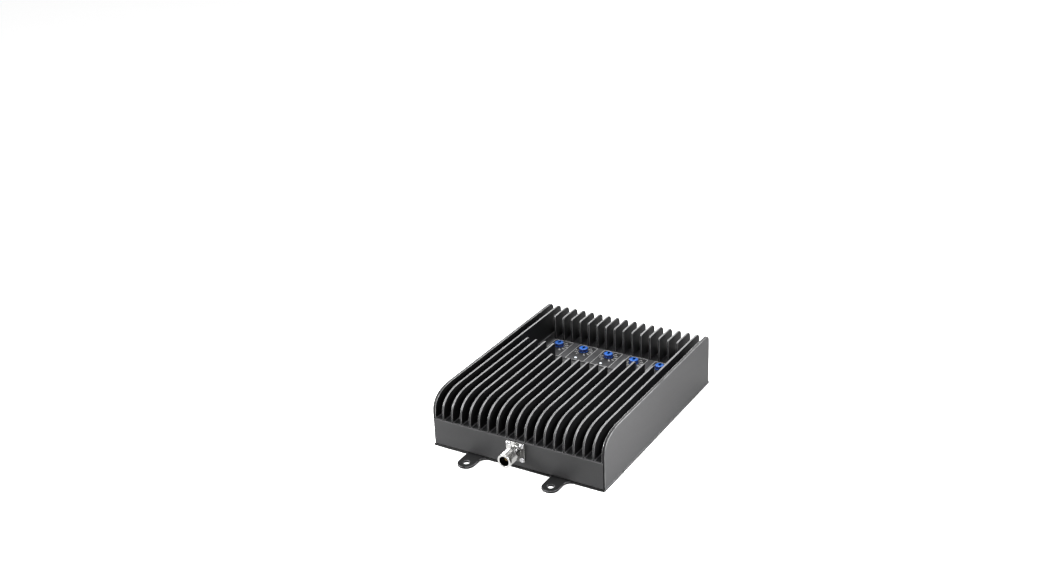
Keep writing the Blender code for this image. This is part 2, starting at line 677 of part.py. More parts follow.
def make_shield(name, side):
    """A drawn steel can, open towards the board that it hangs under."""
    width, depth, height = SHIELD_SIZE
    x, y = side * (width / 2 + 6 * MM), -38 * MM
    top = BOARD_BOTTOM - GAP
    can = block(name, x, y, top - height, SHIELD_SIZE, "tinned_steel")
    inside = (width - 2 * SHIELD_THICK, depth - 2 * SHIELD_THICK, height)
    combine(can, "DIFFERENCE", block(f"{name}_inside", x, y, top - height + SHIELD_THICK, inside))


def make_filter(name, side):
    """A ceramic band filter with a row of resonator holes along its length."""
    width, depth, height = FILTER_SIZE
    x, y = side * (width / 2 + 12 * MM), 30 * MM
    top = BOARD_BOTTOM - GAP
    ceramic = block(name, x, y, top - height, FILTER_SIZE, "silvered_ceramic")
    for number in range(5):
        hole_x = x + (number - 2) * width / 6
        drill(ceramic, f"{name}_hole_{number}", hole_x, y, 0, top - 2 * MM, 2.5 * MM)


def make_pigtail(name, side):
    """A short coaxial lead that arches from a socket's contact to the board's header."""
    start = LENGTH / 2 - SPIGOT_DEPTH - 3 * MM - 2 * GAP
    end = HEADER_Y + HEADER_SIZE[1] / 2 + 2 * GAP
    curve = bpy.data.curves.new(name, "CURVE")
    curve.dimensions = "3D"
    curve.bevel_depth = 1.1 * MM
    curve.bevel_resolution = 2
    curve.use_fill_caps = True
    spline = curve.splines.new("POLY")
    steps = 10
    spline.points.add(steps)
    for i, point in enumerate(spline.points):
        along = i / steps
        y = start + (end - start) * along
        z = SOCKET_Z + 2.6 * MM * math.sin(math.pi * along) ** 2 + 0.2 * MM * along
        point.co = (SOCKET_X, side * y, z, 1)
    meshed(name, curve, (0, 0, 0), (0, 0, 0), "black_cable")


def make_screws():
    for number, (side_x, side_y) in enumerate(CORNERS, 1):
        x, y = side_x * CASE_BOSS[0], side_y * CASE_BOSS[1]
        countersunk_screw(f"case_screw_{number}", (x, y, GAP))
        x, y = side_x * BOARD_BOSS[0], side_y * BOARD_BOSS[1]
        seat = (x, y, BOARD_BOTTOM - GAP)
        pan_screw(f"board_screw_{number}", BOARD_SCREW, seat, (math.pi, 0, 0))


# ---------------------------------------------------------------- build

clear_scene()
parts = make_collection("signal_booster", hidden=False)
cutters = make_collection("cutters", hidden=True)

define_material("black_aluminium", (0.03, 0.03, 0.033), 0.45, 0.6)
define_material("charcoal_paint", (0.08, 0.08, 0.085), 0.4, 0.3)
define_material("dial_print", (0.06, 0.06, 0.065), 0.5, 0)
define_material("blue_plastic", (0.03, 0.16, 0.6), 0.35, 0)
define_material("dark_plastic", (0.02, 0.02, 0.022), 0.5, 0)
define_material("clear_plastic", (0.8, 0.85, 0.9), 0.1, 0)
define_material("bright_steel", (0.7, 0.7, 0.72), 0.25, 1)
define_material("black_steel", (0.05, 0.05, 0.05), 0.35, 0.8)
define_material("tinned_steel", (0.6, 0.6, 0.6), 0.35, 1)
define_material("nickel", (0.75, 0.74, 0.72), 0.15, 1)
define_material("gold_plate", (0.85, 0.62, 0.25), 0.2, 1)
define_material("white_ptfe", (0.85, 0.85, 0.83), 0.5, 0)
define_material("board_green", (0.02, 0.18, 0.08), 0.4, 0)
define_material("grey_silicone", (0.45, 0.47, 0.5), 0.8, 0)
define_material("silvered_ceramic", (0.7, 0.7, 0.68), 0.4, 0.5)
define_material("black_cable", (0.02, 0.02, 0.02), 0.5, 0)

make_housing()
make_panel("front_panel", -1)
make_power_socket(make_panel("rear_panel", 1))
make_bottom_plate()
make_overlay()
for dial, dial_x in enumerate(DIAL_XS, 1):
    make_knob(dial, dial_x)
    make_attenuator(dial, dial_x)
    make_light_pipe(dial, dial_x)
make_socket("front_socket", -1)
make_socket("rear_socket", 1)
make_board()
make_amplifier("uplink", -1)
make_amplifier("downlink", 1)
make_shield("uplink_shield", -1)
make_shield("downlink_shield", 1)
make_filter("uplink_filter", -1)
make_filter("downlink_filter", 1)
make_pigtail("front_pigtail", -1)
make_pigtail("rear_pigtail", 1)
make_screws()
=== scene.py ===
"""Looks for the cellular signal booster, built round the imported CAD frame.

Metres, +Z up, +Y towards the rear panel, as in the frame. A finer piece replaces every CAD node that can
be seen from outside. Every finish is a procedural material.
"""
import math

import bmesh
import bpy
from mathutils import Matrix, Vector
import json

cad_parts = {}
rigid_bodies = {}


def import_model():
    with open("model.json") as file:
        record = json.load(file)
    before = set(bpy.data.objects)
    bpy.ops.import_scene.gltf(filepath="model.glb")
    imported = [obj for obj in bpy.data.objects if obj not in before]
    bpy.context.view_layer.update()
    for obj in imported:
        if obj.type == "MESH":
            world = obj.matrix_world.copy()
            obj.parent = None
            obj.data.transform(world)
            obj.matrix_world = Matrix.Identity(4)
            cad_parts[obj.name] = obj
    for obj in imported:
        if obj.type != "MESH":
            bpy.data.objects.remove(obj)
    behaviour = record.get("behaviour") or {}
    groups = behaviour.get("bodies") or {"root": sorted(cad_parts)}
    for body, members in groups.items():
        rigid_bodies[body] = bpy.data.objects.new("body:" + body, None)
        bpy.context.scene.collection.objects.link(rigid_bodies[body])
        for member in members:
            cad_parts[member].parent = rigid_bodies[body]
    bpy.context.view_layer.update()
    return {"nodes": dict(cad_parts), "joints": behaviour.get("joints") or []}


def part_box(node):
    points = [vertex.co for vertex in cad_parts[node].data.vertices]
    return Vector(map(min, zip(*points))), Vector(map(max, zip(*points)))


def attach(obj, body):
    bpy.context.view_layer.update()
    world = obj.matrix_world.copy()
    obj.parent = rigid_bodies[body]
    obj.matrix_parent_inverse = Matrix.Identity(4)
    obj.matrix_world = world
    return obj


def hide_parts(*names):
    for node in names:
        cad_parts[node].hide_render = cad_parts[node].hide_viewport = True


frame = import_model()

MM = 0.001

# ---- sizes, from the frame

HOUSING_LOW, HOUSING_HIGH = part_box("finned_housing")
PANEL_LOW, PANEL_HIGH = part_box("front_panel")
PLATE_LOW, PLATE_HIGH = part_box("bottom_plate")
OVERLAY_LOW, OVERLAY_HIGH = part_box("dial_overlay")
KNOB_LOW, KNOB_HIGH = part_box("gain_knob_1")
PIPE_LOW, PIPE_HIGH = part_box("light_pipe_1")
BOARD_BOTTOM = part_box("circuit_board")[0].z

WIDTH = HOUSING_HIGH.x - HOUSING_LOW.x
HEIGHT = HOUSING_HIGH.z
DECK_TOP = PANEL_HIGH.z
LENGTH = -2 * PANEL_LOW.y
END = HOUSING_HIGH.y
GAP = 0.3 * MM
DIALS = [Vector(joint["pos_m"]) for joint in frame["joints"]]

# ---- sizes that the frame doesn't state

FIN_COUNT = 19
FIN_THICK = 2.1 * MM
WALL_THICK = 3.5 * MM
FIN_ROOT_ROUND = 1 * MM
POCKET_SIDE_GAP = 2 * MM
FIN_PITCH = (WIDTH - WALL_THICK) / (FIN_COUNT - 1)
DECK_THICK = 4 * MM
CROWN_DEPTH = 40 * MM
CROWN_DROP = 25 * MM
CROWN_FULLNESS = 2.6
REAR_CORNER_RADIUS = 7.5 * MM
POCKET_FRONT = 34.5 * MM
POCKET_REAR = 96.5 * MM
POCKET_EXTRA_DEPTH = 0.2 * MM
NOTCH_FRONT = 10.5 * MM
NOTCH_FINS = 7
FIN_END_RADIUS = 2.5 * MM
EDGE_ROUND = 0.3 * MM
WALL_EDGE_ROUND = 0.55 * MM
PLATE_EDGE_ROUND = 0.5 * MM
PANEL_THICK = 1.5 * MM
PANEL_FLANGE_DEPTH = 22 * MM
BOARD_THICK = 1.6 * MM
CASE_BOSS = (98.5 * MM, 118 * MM)
CASE_BOSS_RADIUS = 5 * MM
BOARD_BOSS = (82 * MM, 105 * MM)
BOARD_BOSS_RADIUS = 3.5 * MM
BUSHING_HOLE_RADIUS = 3.7 * MM
PIPE_RADIUS = 1.5 * MM
EAR_X = 52.2 * MM
EAR_RADIUS = 10 * MM
EAR_REACH = PLATE_HIGH.y - LENGTH / 2 - EAR_RADIUS
EAR_FLARE = 8.5 * MM
EAR_HOLE_RADIUS = 3.5 * MM
SOCKET_X = 0.8 * MM
SOCKET_Z = 22.2 * MM
FLANGE_SIZE = 22.4 * MM
FLANGE_THICK = 1.9 * MM
FLANGE_HOLE = (8.3 * MM, 8.3 * MM)
SPIGOT_RADIUS = 5.5 * MM
SPIGOT_DEPTH = 8 * MM
NECK_RADIUS = 6.8 * MM
THREAD_RADIUS = 7.95 * MM
THREAD_PITCH = 1.058 * MM
THREAD_DEPTH = 0.6 * MM
SOCKET_REACH = 25.2 * MM
MOUTH_RADIUS = 5.6 * MM
MOUTH_FLOOR = 13 * MM
INSULATOR_RADIUS = 4.1 * MM
CONTACT_RADIUS = 1.5 * MM
POWER_X = 58 * MM
POWER_RADIUS = 5.6 * MM

# Screws: shank radius, head radius, head height, length under the head
FLANGE_SCREW = (1.35 * MM, 2.7 * MM, 1.9 * MM, 3.9 * MM)
BOARD_SCREW = (1.3 * MM, 2.7 * MM, 1.6 * MM, 8 * MM)
CASE_SCREW = (1.5 * MM, 3 * MM, 1.9 * MM, 12 * MM)
# Degrees from one screw's cross recess to the next one's
SCREW_TURN = 37

SHARP_ANGLE = math.radians(50)

# How much wear and painted highlight each kind of rounded edge gets: 0 not at all, 1 in blotches, 2 nearly
# everywhere
WALL_OUTER_WEAR_AND_HIGHLIGHT = 0.55
WALL_INNER_WEAR_AND_HIGHLIGHT = 1
FIN_WEAR_AND_HIGHLIGHT = 0.5
LOW_FRONT_WEAR_AND_HIGHLIGHT = 0.1
PANEL_WEAR_AND_HIGHLIGHT = 0.15
PLATE_END_WEAR_AND_HIGHLIGHT = 0
PLATE_SIDE_WEAR_AND_HIGHLIGHT = 2
PLATE_EAR_WEAR_AND_HIGHLIGHT = 0.6

# Planes for a flat outline, each with its depth along the third axis
PLANES = {
    "XY": lambda u, v, depth: (u, v, depth),
    "XZ": lambda u, v, depth: (u, depth, v),
    "YZ": lambda u, v, depth: (depth, u, v),
}


# ---- finishes


class Nodes:
    """Adds shader nodes to a material or a world."""

    def __init__(self, owner):
        owner.use_nodes = True
        self.tree = owner.node_tree

    def feed(self, source, target):
        """Give an input a value, or link it from another node's output."""
        if isinstance(source, bpy.types.NodeSocket):
            self.tree.links.new(source, target)
        else:
            target.default_value = source

    def node(self, kind, inputs=None, **settings):
        made = self.tree.nodes.new(kind)
        for key, value in settings.items():
            setattr(made, key, value)
        for key, source in (inputs or {}).items():
            self.feed(source, made.inputs[key])
        return made


class Finish(Nodes):
    """A Principled material whose inputs are layered from procedural textures."""

    def __init__(self, name, slot, colour, roughness, metallic=0.0):
        self.slot = slot
        self.material = bpy.data.materials.new(name)
        super().__init__(self.material)
        self.shader = self.tree.nodes["Principled BSDF"]
        self.place = self.node("ShaderNodeTexCoord").outputs["Object"]
        self.set("Base Color", (*colour, 1))
        self.set("Roughness", roughness)
        self.set("Metallic", metallic)

    def set(self, label, value):
        self.shader.inputs[label].default_value = value

    def ranged(self, source, low, high):
        """A value's range from low to high, spread to 0 to 1."""
        inputs = {"Value": source, "From Min": low, "From Max": high}
        return self.node("ShaderNodeMapRange", inputs).outputs["Result"]

    def noise(self, size, low=0.3, high=0.7, detail=3, stretch=(1, 1, 1)):
        """Noise with blotches about `size` metres across, longer along an axis with a small stretch."""
        squeezed = self.node("ShaderNodeMapping", {"Vector": self.place, "Scale": stretch})
        inputs = {"Vector": squeezed.outputs["Vector"], "Scale": 1 / size, "Detail": detail}
        return self.ranged(self.node("ShaderNodeTexNoise", inputs).outputs["Fac"], low, high)

    def cells(self, size, low, high):
        """Voronoi cells of about `size` metres, as the distance from each cell's centre."""
        texture = self.node("ShaderNodeTexVoronoi", {"Vector": self.place, "Scale": 1 / size})
        return self.ranged(texture.outputs["Distance"], low, high)

    def attribute(self, name):
        return self.node("ShaderNodeAttribute", attribute_name=name).outputs["Fac"]

    def times(self, first, second):
        factors = {0: first, 1: second}
        return self.node("ShaderNodeMath", factors, operation="MULTIPLY", use_clamp=True).outputs[0]

    def facing(self, axis, low, high):
        """How far a surface faces along an axis, as a mask from 0 at low to 1 at high."""
        normal = self.node("ShaderNodeNewGeometry").outputs["True Normal"]
        return self.ranged(self.node("ShaderNodeSeparateXYZ", {0: normal}).outputs[axis], low, high)

    def outward(self, axis, low, high):
        """A mask from 0 to 1 between two distances from the middle, the same to both sides."""
        place = self.node("ShaderNodeSeparateXYZ", {0: self.place}).outputs[axis]
        distance = self.node("ShaderNodeMath", {0: place}, operation="ABSOLUTE").outputs[0]
        return self.ranged(distance, low, high)

    def layer(self, mask, colour=None, roughness=None, metallic=None):
        """Mix new values over the present ones where the mask is 1."""
        if colour is not None:
            self.mix("Base Color", "RGBA", mask, (*colour, 1))
        for label, value in (("Roughness", roughness), ("Metallic", metallic)):
            if value is not None:
                self.mix(label, "FLOAT", mask, value)

    def mix(self, label, kind, mask, value):
        target = self.shader.inputs[label]
        present = target.links[0].from_socket if target.links else target.default_value
        blend = self.node("ShaderNodeMix", data_type=kind)
        inputs = [socket for socket in blend.inputs if socket.enabled]
        for source, socket in zip((mask, present, value), inputs):
            self.feed(source, socket)
        result = next(socket for socket in blend.outputs if socket.enabled)
        self.feed(result, target)

    def bump(self, height, depth):
        """Raise the surface by `depth` metres where the height is 1."""
        bump = self.node("ShaderNodeBump", {"Strength": 1, "Distance": depth, "Height": height})
        target = self.shader.inputs["Normal"]
        if target.links:
            self.feed(target.links[0].from_socket, bump.inputs["Normal"])
        self.feed(bump.outputs["Normal"], target)


def black_anodised():
    """Extruded aluminium, black anodised: dull black channels, satin walls with their outer faces painted
    lighter as a painted sheen, paler fin tops and ends as a painted highlight with painted shade where they
    face forward or lie flat, a painted highlight along the front fin roots, and rounded edges lighter from
    wear and painted highlight.
    """
    finish = Finish("black_anodised_aluminium", "black_anodised", (0.005, 0.005, 0.0055), 0.48)
    finish.set("Specular IOR Level", 0.22)
    die_lines = finish.noise(0.5 * MM, 0.35, 0.65, stretch=(1, 0.01, 1))
    finish.layer(finish.noise(30 * MM, 0.35, 0.7), colour=(0.0075, 0.0075, 0.0082), roughness=0.55)
    # Painted sheen: the side walls' outer faces are painted much lighter than the rest of the anodising.
    outer_wall = finish.outward("X", WIDTH / 2 - 0.4 * MM, WIDTH / 2 - 0.1 * MM)
    finish.layer(outer_wall, colour=(0.08, 0.08, 0.082), roughness=0.38)
    finish.layer(finish.times(die_lines, outer_wall), roughness=0.32)
    # Painted highlight: a pale line along the fin roots in front of the pocket.
    finish.layer(finish.attribute("root"), colour=(0.07, 0.07, 0.072), roughness=0.35)
    # Painted highlight: the fins' narrow tops and ends are painted paler than the anodising.
    between_walls = finish.outward("X", WIDTH / 2 - WALL_THICK + 0.1 * MM, WIDTH / 2 - WALL_THICK)
    edge = finish.times(finish.attribute("fin_edge"), between_walls)
    finish.layer(edge, colour=(0.1, 0.1, 0.102), roughness=0.4, metallic=0.2)
    finish.layer(finish.times(edge, finish.noise(24 * MM, 0.35, 0.65)), colour=(0.15, 0.15, 0.153))
    # Painted shade on the fins' forward-facing ends.
    finish.layer(finish.times(edge, finish.facing("Y", -0.6, -0.99)), colour=(0.02, 0.02, 0.021))
    # Painted shade on the fins' flat tops, leaving the curved crowns brightest.
    flat_top = finish.times(finish.times(edge, finish.facing("Z", 0.93, 1)), 0.6)
    finish.layer(flat_top, colour=(0.05, 0.05, 0.052), roughness=0.5)
    # Rounded edges: paler bare metal from wear, brightened along the walls as a painted highlight.
    wear_and_highlight = finish.times(finish.attribute("wear_and_highlight"), finish.noise(14 * MM, 0.2, 0.6))
    finish.layer(wear_and_highlight, colour=(0.5, 0.5, 0.505), roughness=0.3, metallic=0.5)
    finish.bump(finish.noise(0.22 * MM), 0.008 * MM)
    finish.bump(die_lines, 0.004 * MM)
    return finish


def powder_coat(name, tone, sheen):
    """Sheet steel with a charcoal powder coat: orange peel, and slightly lighter edges from wear and
    painted highlight.
    """
    finish = Finish(name, "charcoal_powder_coat", (tone, tone, 1.03 * tone), 0.4)
    finish.set("Specular IOR Level", sheen)
    cloudy = 1.2 * tone
    finish.layer(finish.noise(45 * MM, 0.3, 0.7), colour=(cloudy, cloudy, 1.03 * cloudy), roughness=0.46)
    specks = finish.noise(0.7 * MM, 0.6, 0.72)
    speck = 1.5 * tone
    finish.layer(finish.times(specks, 0.4), colour=(speck, speck, 1.03 * speck))
    # Lighter rounded edges: wear, and a painted highlight.
    wear_and_highlight = finish.times(finish.attribute("wear_and_highlight"), finish.noise(3 * MM, 0.3, 0.6))
    finish.layer(wear_and_highlight, colour=(0.24, 0.24, 0.245), roughness=0.35, metallic=0.3)
    finish.bump(finish.noise(0.9 * MM, 0.2, 0.8, detail=1), 0.02 * MM)
    finish.bump(finish.noise(0.25 * MM), 0.006 * MM)
    return finish


def overlay_sheet(name, colour, roughness, other, blotch):
    """Matt printed polycarbonate with a fine emboss."""
    finish = Finish(name, "printed_overlay", colour, roughness)
    finish.set("Specular IOR Level", 0.3)
    finish.layer(finish.noise(blotch), colour=other, roughness=roughness + 0.1)
    finish.bump(finish.cells(0.3 * MM, 0, 0.6), 0.01 * MM)
    return finish


def mottled(name, slot, tones, rough, blotch, grain, metallic=0.0):
    """A finish that wanders between two tones and two roughnesses, under a fine grain.

    blotch: the size, low and high of its noise; grain: the size and depth of its bumps.
    """
    finish = Finish(name, slot, tones[0], rough[0], metallic)
    finish.layer(finish.noise(*blotch), colour=tones[1], roughness=rough[1])
    finish.bump(finish.noise(grain[0]), grain[1])
    return finish


def blue_plastic():
    """Moulded blue plastic, scuffed lighter where fingers rub the flutes; its top is painted lighter than
    its sides.
    """
    finish = Finish("moulded_blue_plastic", "blue_plastic", (0.002, 0.008, 0.06), 0.3)
    # Painted light: the top is painted much lighter blue than the shaded sides.
    finish.layer(finish.facing("Z", 0.2, 0.8), colour=(0.006, 0.085, 0.38))
    finish.layer(finish.noise(3 * MM, 0.35, 0.7), roughness=0.45)
    wear_and_highlight = finish.times(finish.attribute("wear_and_highlight"), finish.noise(1.2 * MM, 0.35, 0.7))
    finish.layer(wear_and_highlight, colour=(0.015, 0.12, 0.48), roughness=0.5)
    finish.bump(finish.noise(0.12 * MM), 0.006 * MM)
    return finish


def black_plastic():
    finish = Finish("moulded_black_plastic", "black_plastic", (0.018, 0.018, 0.02), 0.45)
    finish.layer(finish.noise(4 * MM), colour=(0.028, 0.028, 0.03), roughness=0.56)
    finish.bump(finish.cells(0.25 * MM, 0, 0.7), 0.01 * MM)
    return finish


def clear_plastic():
    """Clear acrylic with the lamp's light held in its dome."""
    finish = Finish("clear_acrylic", "clear_plastic", (0.86, 0.9, 0.95), 0.08)
    finish.set("Transmission Weight", 0.55)
    finish.set("Emission Color", (0.9, 0.96, 1, 1))
    finish.set("Emission Strength", 0.5)
    finish.layer(finish.noise(1 * MM, 0.4, 0.7), roughness=0.2)
    finish.bump(finish.noise(0.2 * MM), 0.004 * MM)
    return finish


def bright_nickel():
    """Bright nickel plate with fine scratches round its axis, and painted shade in the thread roots and
    inside the mouth.
    """
    finish = Finish("bright_nickel_plate", "nickel_plate", (0.62, 0.617, 0.605), 0.07, 1.0)
    finish.layer(finish.noise(3 * MM, 0.35, 0.75), roughness=0.14)
    scratches = finish.noise(0.12 * MM, 0.55, 0.7, stretch=(0.15, 1, 0.15))
    finish.layer(scratches, roughness=0.3)
    # Painted shade: thread roots darker the deeper they lie, and the mouth's inside dark.
    finish.layer(finish.times(finish.attribute("root"), 0.9), colour=(0.12, 0.115, 0.11), roughness=0.45)
    finish.layer(finish.attribute("inside"), colour=(0.1, 0.098, 0.095), roughness=0.3)
    finish.bump(scratches, 0.003 * MM)
    return finish


def tinned_steel():
    finish = Finish("tinned_sheet_steel", "tinned_steel", (0.62, 0.62, 0.61), 0.3, 1.0)
    rolled = finish.noise(0.4 * MM, 0.35, 0.65, stretch=(0.03, 1, 1))
    finish.layer(rolled, roughness=0.42)
    finish.layer(finish.noise(9 * MM, 0.4, 0.7), colour=(0.5, 0.5, 0.5))
    finish.bump(rolled, 0.004 * MM)
    return finish


def circuit_laminate():
    """Green solder mask over copper: traces show as paler bands."""
    finish = Finish("green_solder_mask", "circuit_laminate", (0.008, 0.1, 0.04), 0.3)
    traces = finish.cells(5 * MM, 0.4, 0.44)
    finish.layer(traces, colour=(0.02, 0.2, 0.08))
    finish.layer(finish.noise(6 * MM), roughness=0.4)
    finish.bump(traces, 0.03 * MM)
    return finish


# ---- places and outlines


def shift(x, y, z=0):
    return Matrix.Translation((x, y, z))


def turned(degrees, axis):
    return Matrix.Rotation(math.radians(degrees), 4, axis)


def corners(x, y):
    """A point in each corner, in the order in which the pieces are numbered."""
    return [(-x, -y), (x, -y), (x, y), (-x, y)]


def arc(centre, radii, start, end, steps):
    """Points on an oval arc between two angles in degrees."""
    angles = [math.radians(start + (end - start) * i / steps) for i in range(steps + 1)]
    return [(centre[0] + radii[0] * math.cos(a), centre[1] + radii[1] * math.sin(a)) for a in angles]


def full_arc(centre, radii, fullness, steps):
    """Points from the left end to the top of an oval with a full shoulder."""
    points = []
    for i in range(steps + 1):
        angle = math.pi / 2 * i / steps
        across = max(0, math.cos(angle)) ** (2 / fullness)
        up = math.sin(angle) ** (2 / fullness)
        points.append((centre[0] - radii[0] * across, centre[1] + radii[1] * up))
    return points


def rounded_rectangle(centre, size, radius):
    points = []
    for i, (x, y) in enumerate([(1, 1), (-1, 1), (-1, -1), (1, -1)]):
        corner = (centre[0] + x * (size[0] / 2 - radius), centre[1] + y * (size[1] / 2 - radius))
        points += arc(corner, (radius, radius), 90 * i, 90 * i + 90, 5)
    return points


# ---- shapes


def bridge(shape, first, second):
    """Faces between two closed rings that have the same number of points."""
    for i in range(len(first)):
        shape.faces.new((first[i - 1], first[i], second[i], second[i - 1]))


def prism(outline, low, high, plane="XY"):
    """A closed solid: a flat outline given a depth from low to high."""
    shape = bmesh.new()
    ends = []
    for depth in (low, high):
        ends.append([shape.verts.new(PLANES[plane](u, v, depth)) for u, v in outline])
        shape.faces.new(ends[-1])
    bridge(shape, *ends)
    bmesh.ops.recalc_face_normals(shape, faces=shape.faces)
    return shape


def slab(low, high):
    outline = [(low[0], low[1]), (high[0], low[1]), (high[0], high[1]), (low[0], high[1])]
    return prism(outline, low[2], high[2])


def rod(x, y, low, high, radius, steps=32):
    return prism(arc((x, y), (radius, radius), 0, 360, steps)[:-1], low, high)


def lathe(profile, steps=48, ripple=None):
    """(radius, height) points turned about Z; an outline that starts off the axis is a closed ring."""
    shape = bmesh.new()
    rings = []
    for radius, height in profile:
        ring = []
        for i in range(steps):
            turn = i / steps
            reach = ripple(radius, height, turn) if ripple else radius
            angle = math.tau * turn
            ring.append(shape.verts.new((reach * math.cos(angle), reach * math.sin(angle), height)))
        rings.append(ring)
    pairs = list(zip(rings, rings[1:]))
    if profile[0][0] > 0:
        pairs.append((rings[-1], rings[0]))
    for first, second in pairs:
        bridge(shape, first, second)
    bmesh.ops.remove_doubles(shape, verts=shape.verts, dist=0.001 * MM)
    bmesh.ops.recalc_face_normals(shape, faces=shape.faces)
    return shape


def band(outer, inner, low, high):
    """A closed frame between an outer and an inner outline."""
    shape = bmesh.new()
    rings = [
        [shape.verts.new((x, y, z)) for x, y in outline]
        for outline, z in ((outer, low), (outer, high), (inner, high), (inner, low))
    ]
    for first, second in zip(rings, rings[1:] + rings[:1]):
        bridge(shape, first, second)
    bmesh.ops.recalc_face_normals(shape, faces=shape.faces)
    return shape


def moved(shape, matrix):
    shape.transform(matrix)
    return shape


def mesh_of(name, shape):
    """A mesh of a shape that is used up."""
    mesh = bpy.data.meshes.new(name)
    shape.to_mesh(mesh)
    shape.free()
    return mesh


def placed(name, data, collection=bpy.context.scene.collection):
    """A new object in the scene or in another collection."""
    obj = bpy.data.objects.new(name, data)
    collection.objects.link(obj)
    return obj


def joined(shapes):
    """Several shapes as one; they don't touch."""
    first = shapes[0]
    for other in shapes[1:]:
        mesh = mesh_of("part", other)
        first.from_mesh(mesh)
        bpy.data.meshes.remove(mesh)
    return first


def combine(shape, operation, others):
    """The Boolean of a shape with others; all are used up."""
    group = bpy.data.collections.new("others")
    bpy.context.scene.collection.children.link(group)
    base = placed("base", mesh_of("base", shape))
    for other in others:
        placed("other", mesh_of("other", other), group)
    step = base.modifiers.new("step", "BOOLEAN")
    step.operation = operation
    step.operand_type = "COLLECTION"
    step.collection = group
    graph = bpy.context.evaluated_depsgraph_get()
    mesh = bpy.data.meshes.new_from_object(base.evaluated_get(graph))
    result = bmesh.new()
    result.from_mesh(mesh)
    for obj in [base, *group.objects]:
        bpy.data.meshes.remove(obj.data)
    bpy.data.meshes.remove(mesh)
    bpy.data.collections.remove(group)
    bmesh.ops.remove_doubles(result, verts=result.verts, dist=0.0005 * MM)
    return result


def face_marks(shape, name):
    """Numbers on a shape's faces that its finish can read; they start at 0."""
    layers = shape.faces.layers.float
    return layers.get(name) or layers.new(name)


def soften(shape, width, chosen=lambda middle, edge: True, segments=3, wear_and_highlight_level=1):
    """Round the sharp convex edges that pass a test, and mark how much wear and painted highlight the
    rounds get.
    """
    wear_and_highlight = face_marks(shape, "wear_and_highlight")
    shape.normal_update()
    edges = [
        edge for edge in shape.edges
        if edge.calc_face_angle_signed(0) > SHARP_ANGLE
        and chosen((edge.verts[0].co + edge.verts[1].co) / 2, edge)
    ]
    made = bmesh.ops.bevel(
        shape, geom=edges, offset=width, offset_type="OFFSET", segments=segments, profile=0.5,
        affect="EDGES", clamp_overlap=False, material=-1,
    )
    for face in made["faces"]:
        face[wear_and_highlight] = wear_and_highlight_level
    return shape


def finished(name, shape, finish):
    """A shape as a smooth mesh with its finish; sharp edges are kept."""
    mesh = mesh_of(name, shape)
    mesh.shade_smooth()
    mesh.set_sharp_from_angle(angle=SHARP_ANGLE)
    mesh.materials.append(finish.material)
    return mesh


def piece(name, shape, finish, node=None, body="case"):
    """A shape as a shown piece that stands for a CAD node and rides on a body."""
    shown(name, finished(name, shape, finish), node, body)


def shown(name, mesh, node=None, body="case", at=None):
    """A mesh, which other pieces may share, as a shown piece."""
    obj = placed(name, mesh)
    obj.matrix_world = at or Matrix.Identity(4)
    even = obj.modifiers.new("even_normals", "WEIGHTED_NORMAL")
    even.keep_sharp = True
    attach(obj, body)
    if node:
        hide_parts(node)


# ---- case


def fin_spans():
    """Left and right face of every fin, with the thicker side walls at both ends."""
    edge = WIDTH / 2
    middle = (FIN_COUNT - 1) // 2
    inner = [i * FIN_PITCH for i in range(1 - middle, middle)]
    spans = [(x - FIN_THICK / 2, x + FIN_THICK / 2) for x in inner]
    return [(-edge, WALL_THICK - edge), *spans, (edge - WALL_THICK, edge)]


def comb_outline():
    """Cross-section of the extrusion: fins above the deck, walls at both sides."""
    spans = fin_spans()
    root = FIN_ROOT_ROUND
    bottom = HOUSING_LOW.z
    points = [(spans[0][0], bottom), (spans[0][0], HEIGHT)]
    for (_, left), (right, _) in zip(spans, spans[1:]):
        points.append((left, HEIGHT))
        points += arc((left + root, DECK_TOP + root), (root, root), 180, 270, 6)
        points += arc((right - root, DECK_TOP + root), (root, root), 270, 360, 6)
        points.append((right, HEIGHT))
    points += [(spans[-1][1], HEIGHT), (spans[-1][1], bottom)]
    inside = WIDTH / 2 - WALL_THICK
    under = DECK_TOP - DECK_THICK
    return points + [(inside, bottom), (inside, under), (-inside, under), (-inside, bottom)]


def side_outline():
    """Side view of the extrusion: a long curved front and a small rear corner."""
    centre = (CROWN_DEPTH - END, HEIGHT - CROWN_DROP)
    crown = full_arc(centre, (CROWN_DEPTH, CROWN_DROP), CROWN_FULLNESS, 36)
    corner = REAR_CORNER_RADIUS
    rear = arc((END - corner, HEIGHT - corner), (corner, corner), 90, 0, 12)
    return [(-END, -HEIGHT), *crown, *rear, (END, -HEIGHT)]


def pocket_outline(front, rear):
    """Side view of a pocket that rounds over into the fin tops."""
    radius = FIN_END_RADIUS
    above = HEIGHT + 2 * radius
    floor = DECK_TOP - POCKET_EXTRA_DEPTH
    left = arc((front - radius, HEIGHT - radius), (radius, radius), 0, 90, 6)
    right = arc((rear + radius, HEIGHT - radius), (radius, radius), 90, 180, 6)
    outer = [(front - radius, above), (rear + radius, above)]
    return [(front, floor), *left, *outer, *right, (rear, floor)]


def pocket_cutters():
    middle = (FIN_COUNT - 1) // 2
    half = (middle - 1) * FIN_PITCH - FIN_THICK / 2 - POCKET_SIDE_GAP
    notch = NOTCH_FINS * FIN_PITCH / 2
    return [
        prism(pocket_outline(POCKET_FRONT, POCKET_REAR), -half, half, "YZ"),
        prism(pocket_outline(NOTCH_FRONT, POCKET_FRONT + FIN_PITCH), -notch, notch, "YZ"),
    ]


def light_pipe_place(dial):
    """Where a dial's light pipe stands, from the first dial's pipe in the frame."""
    first = (PIPE_LOW + PIPE_HIGH) / 2
    return dial.x + first.x - DIALS[0].x, first.y


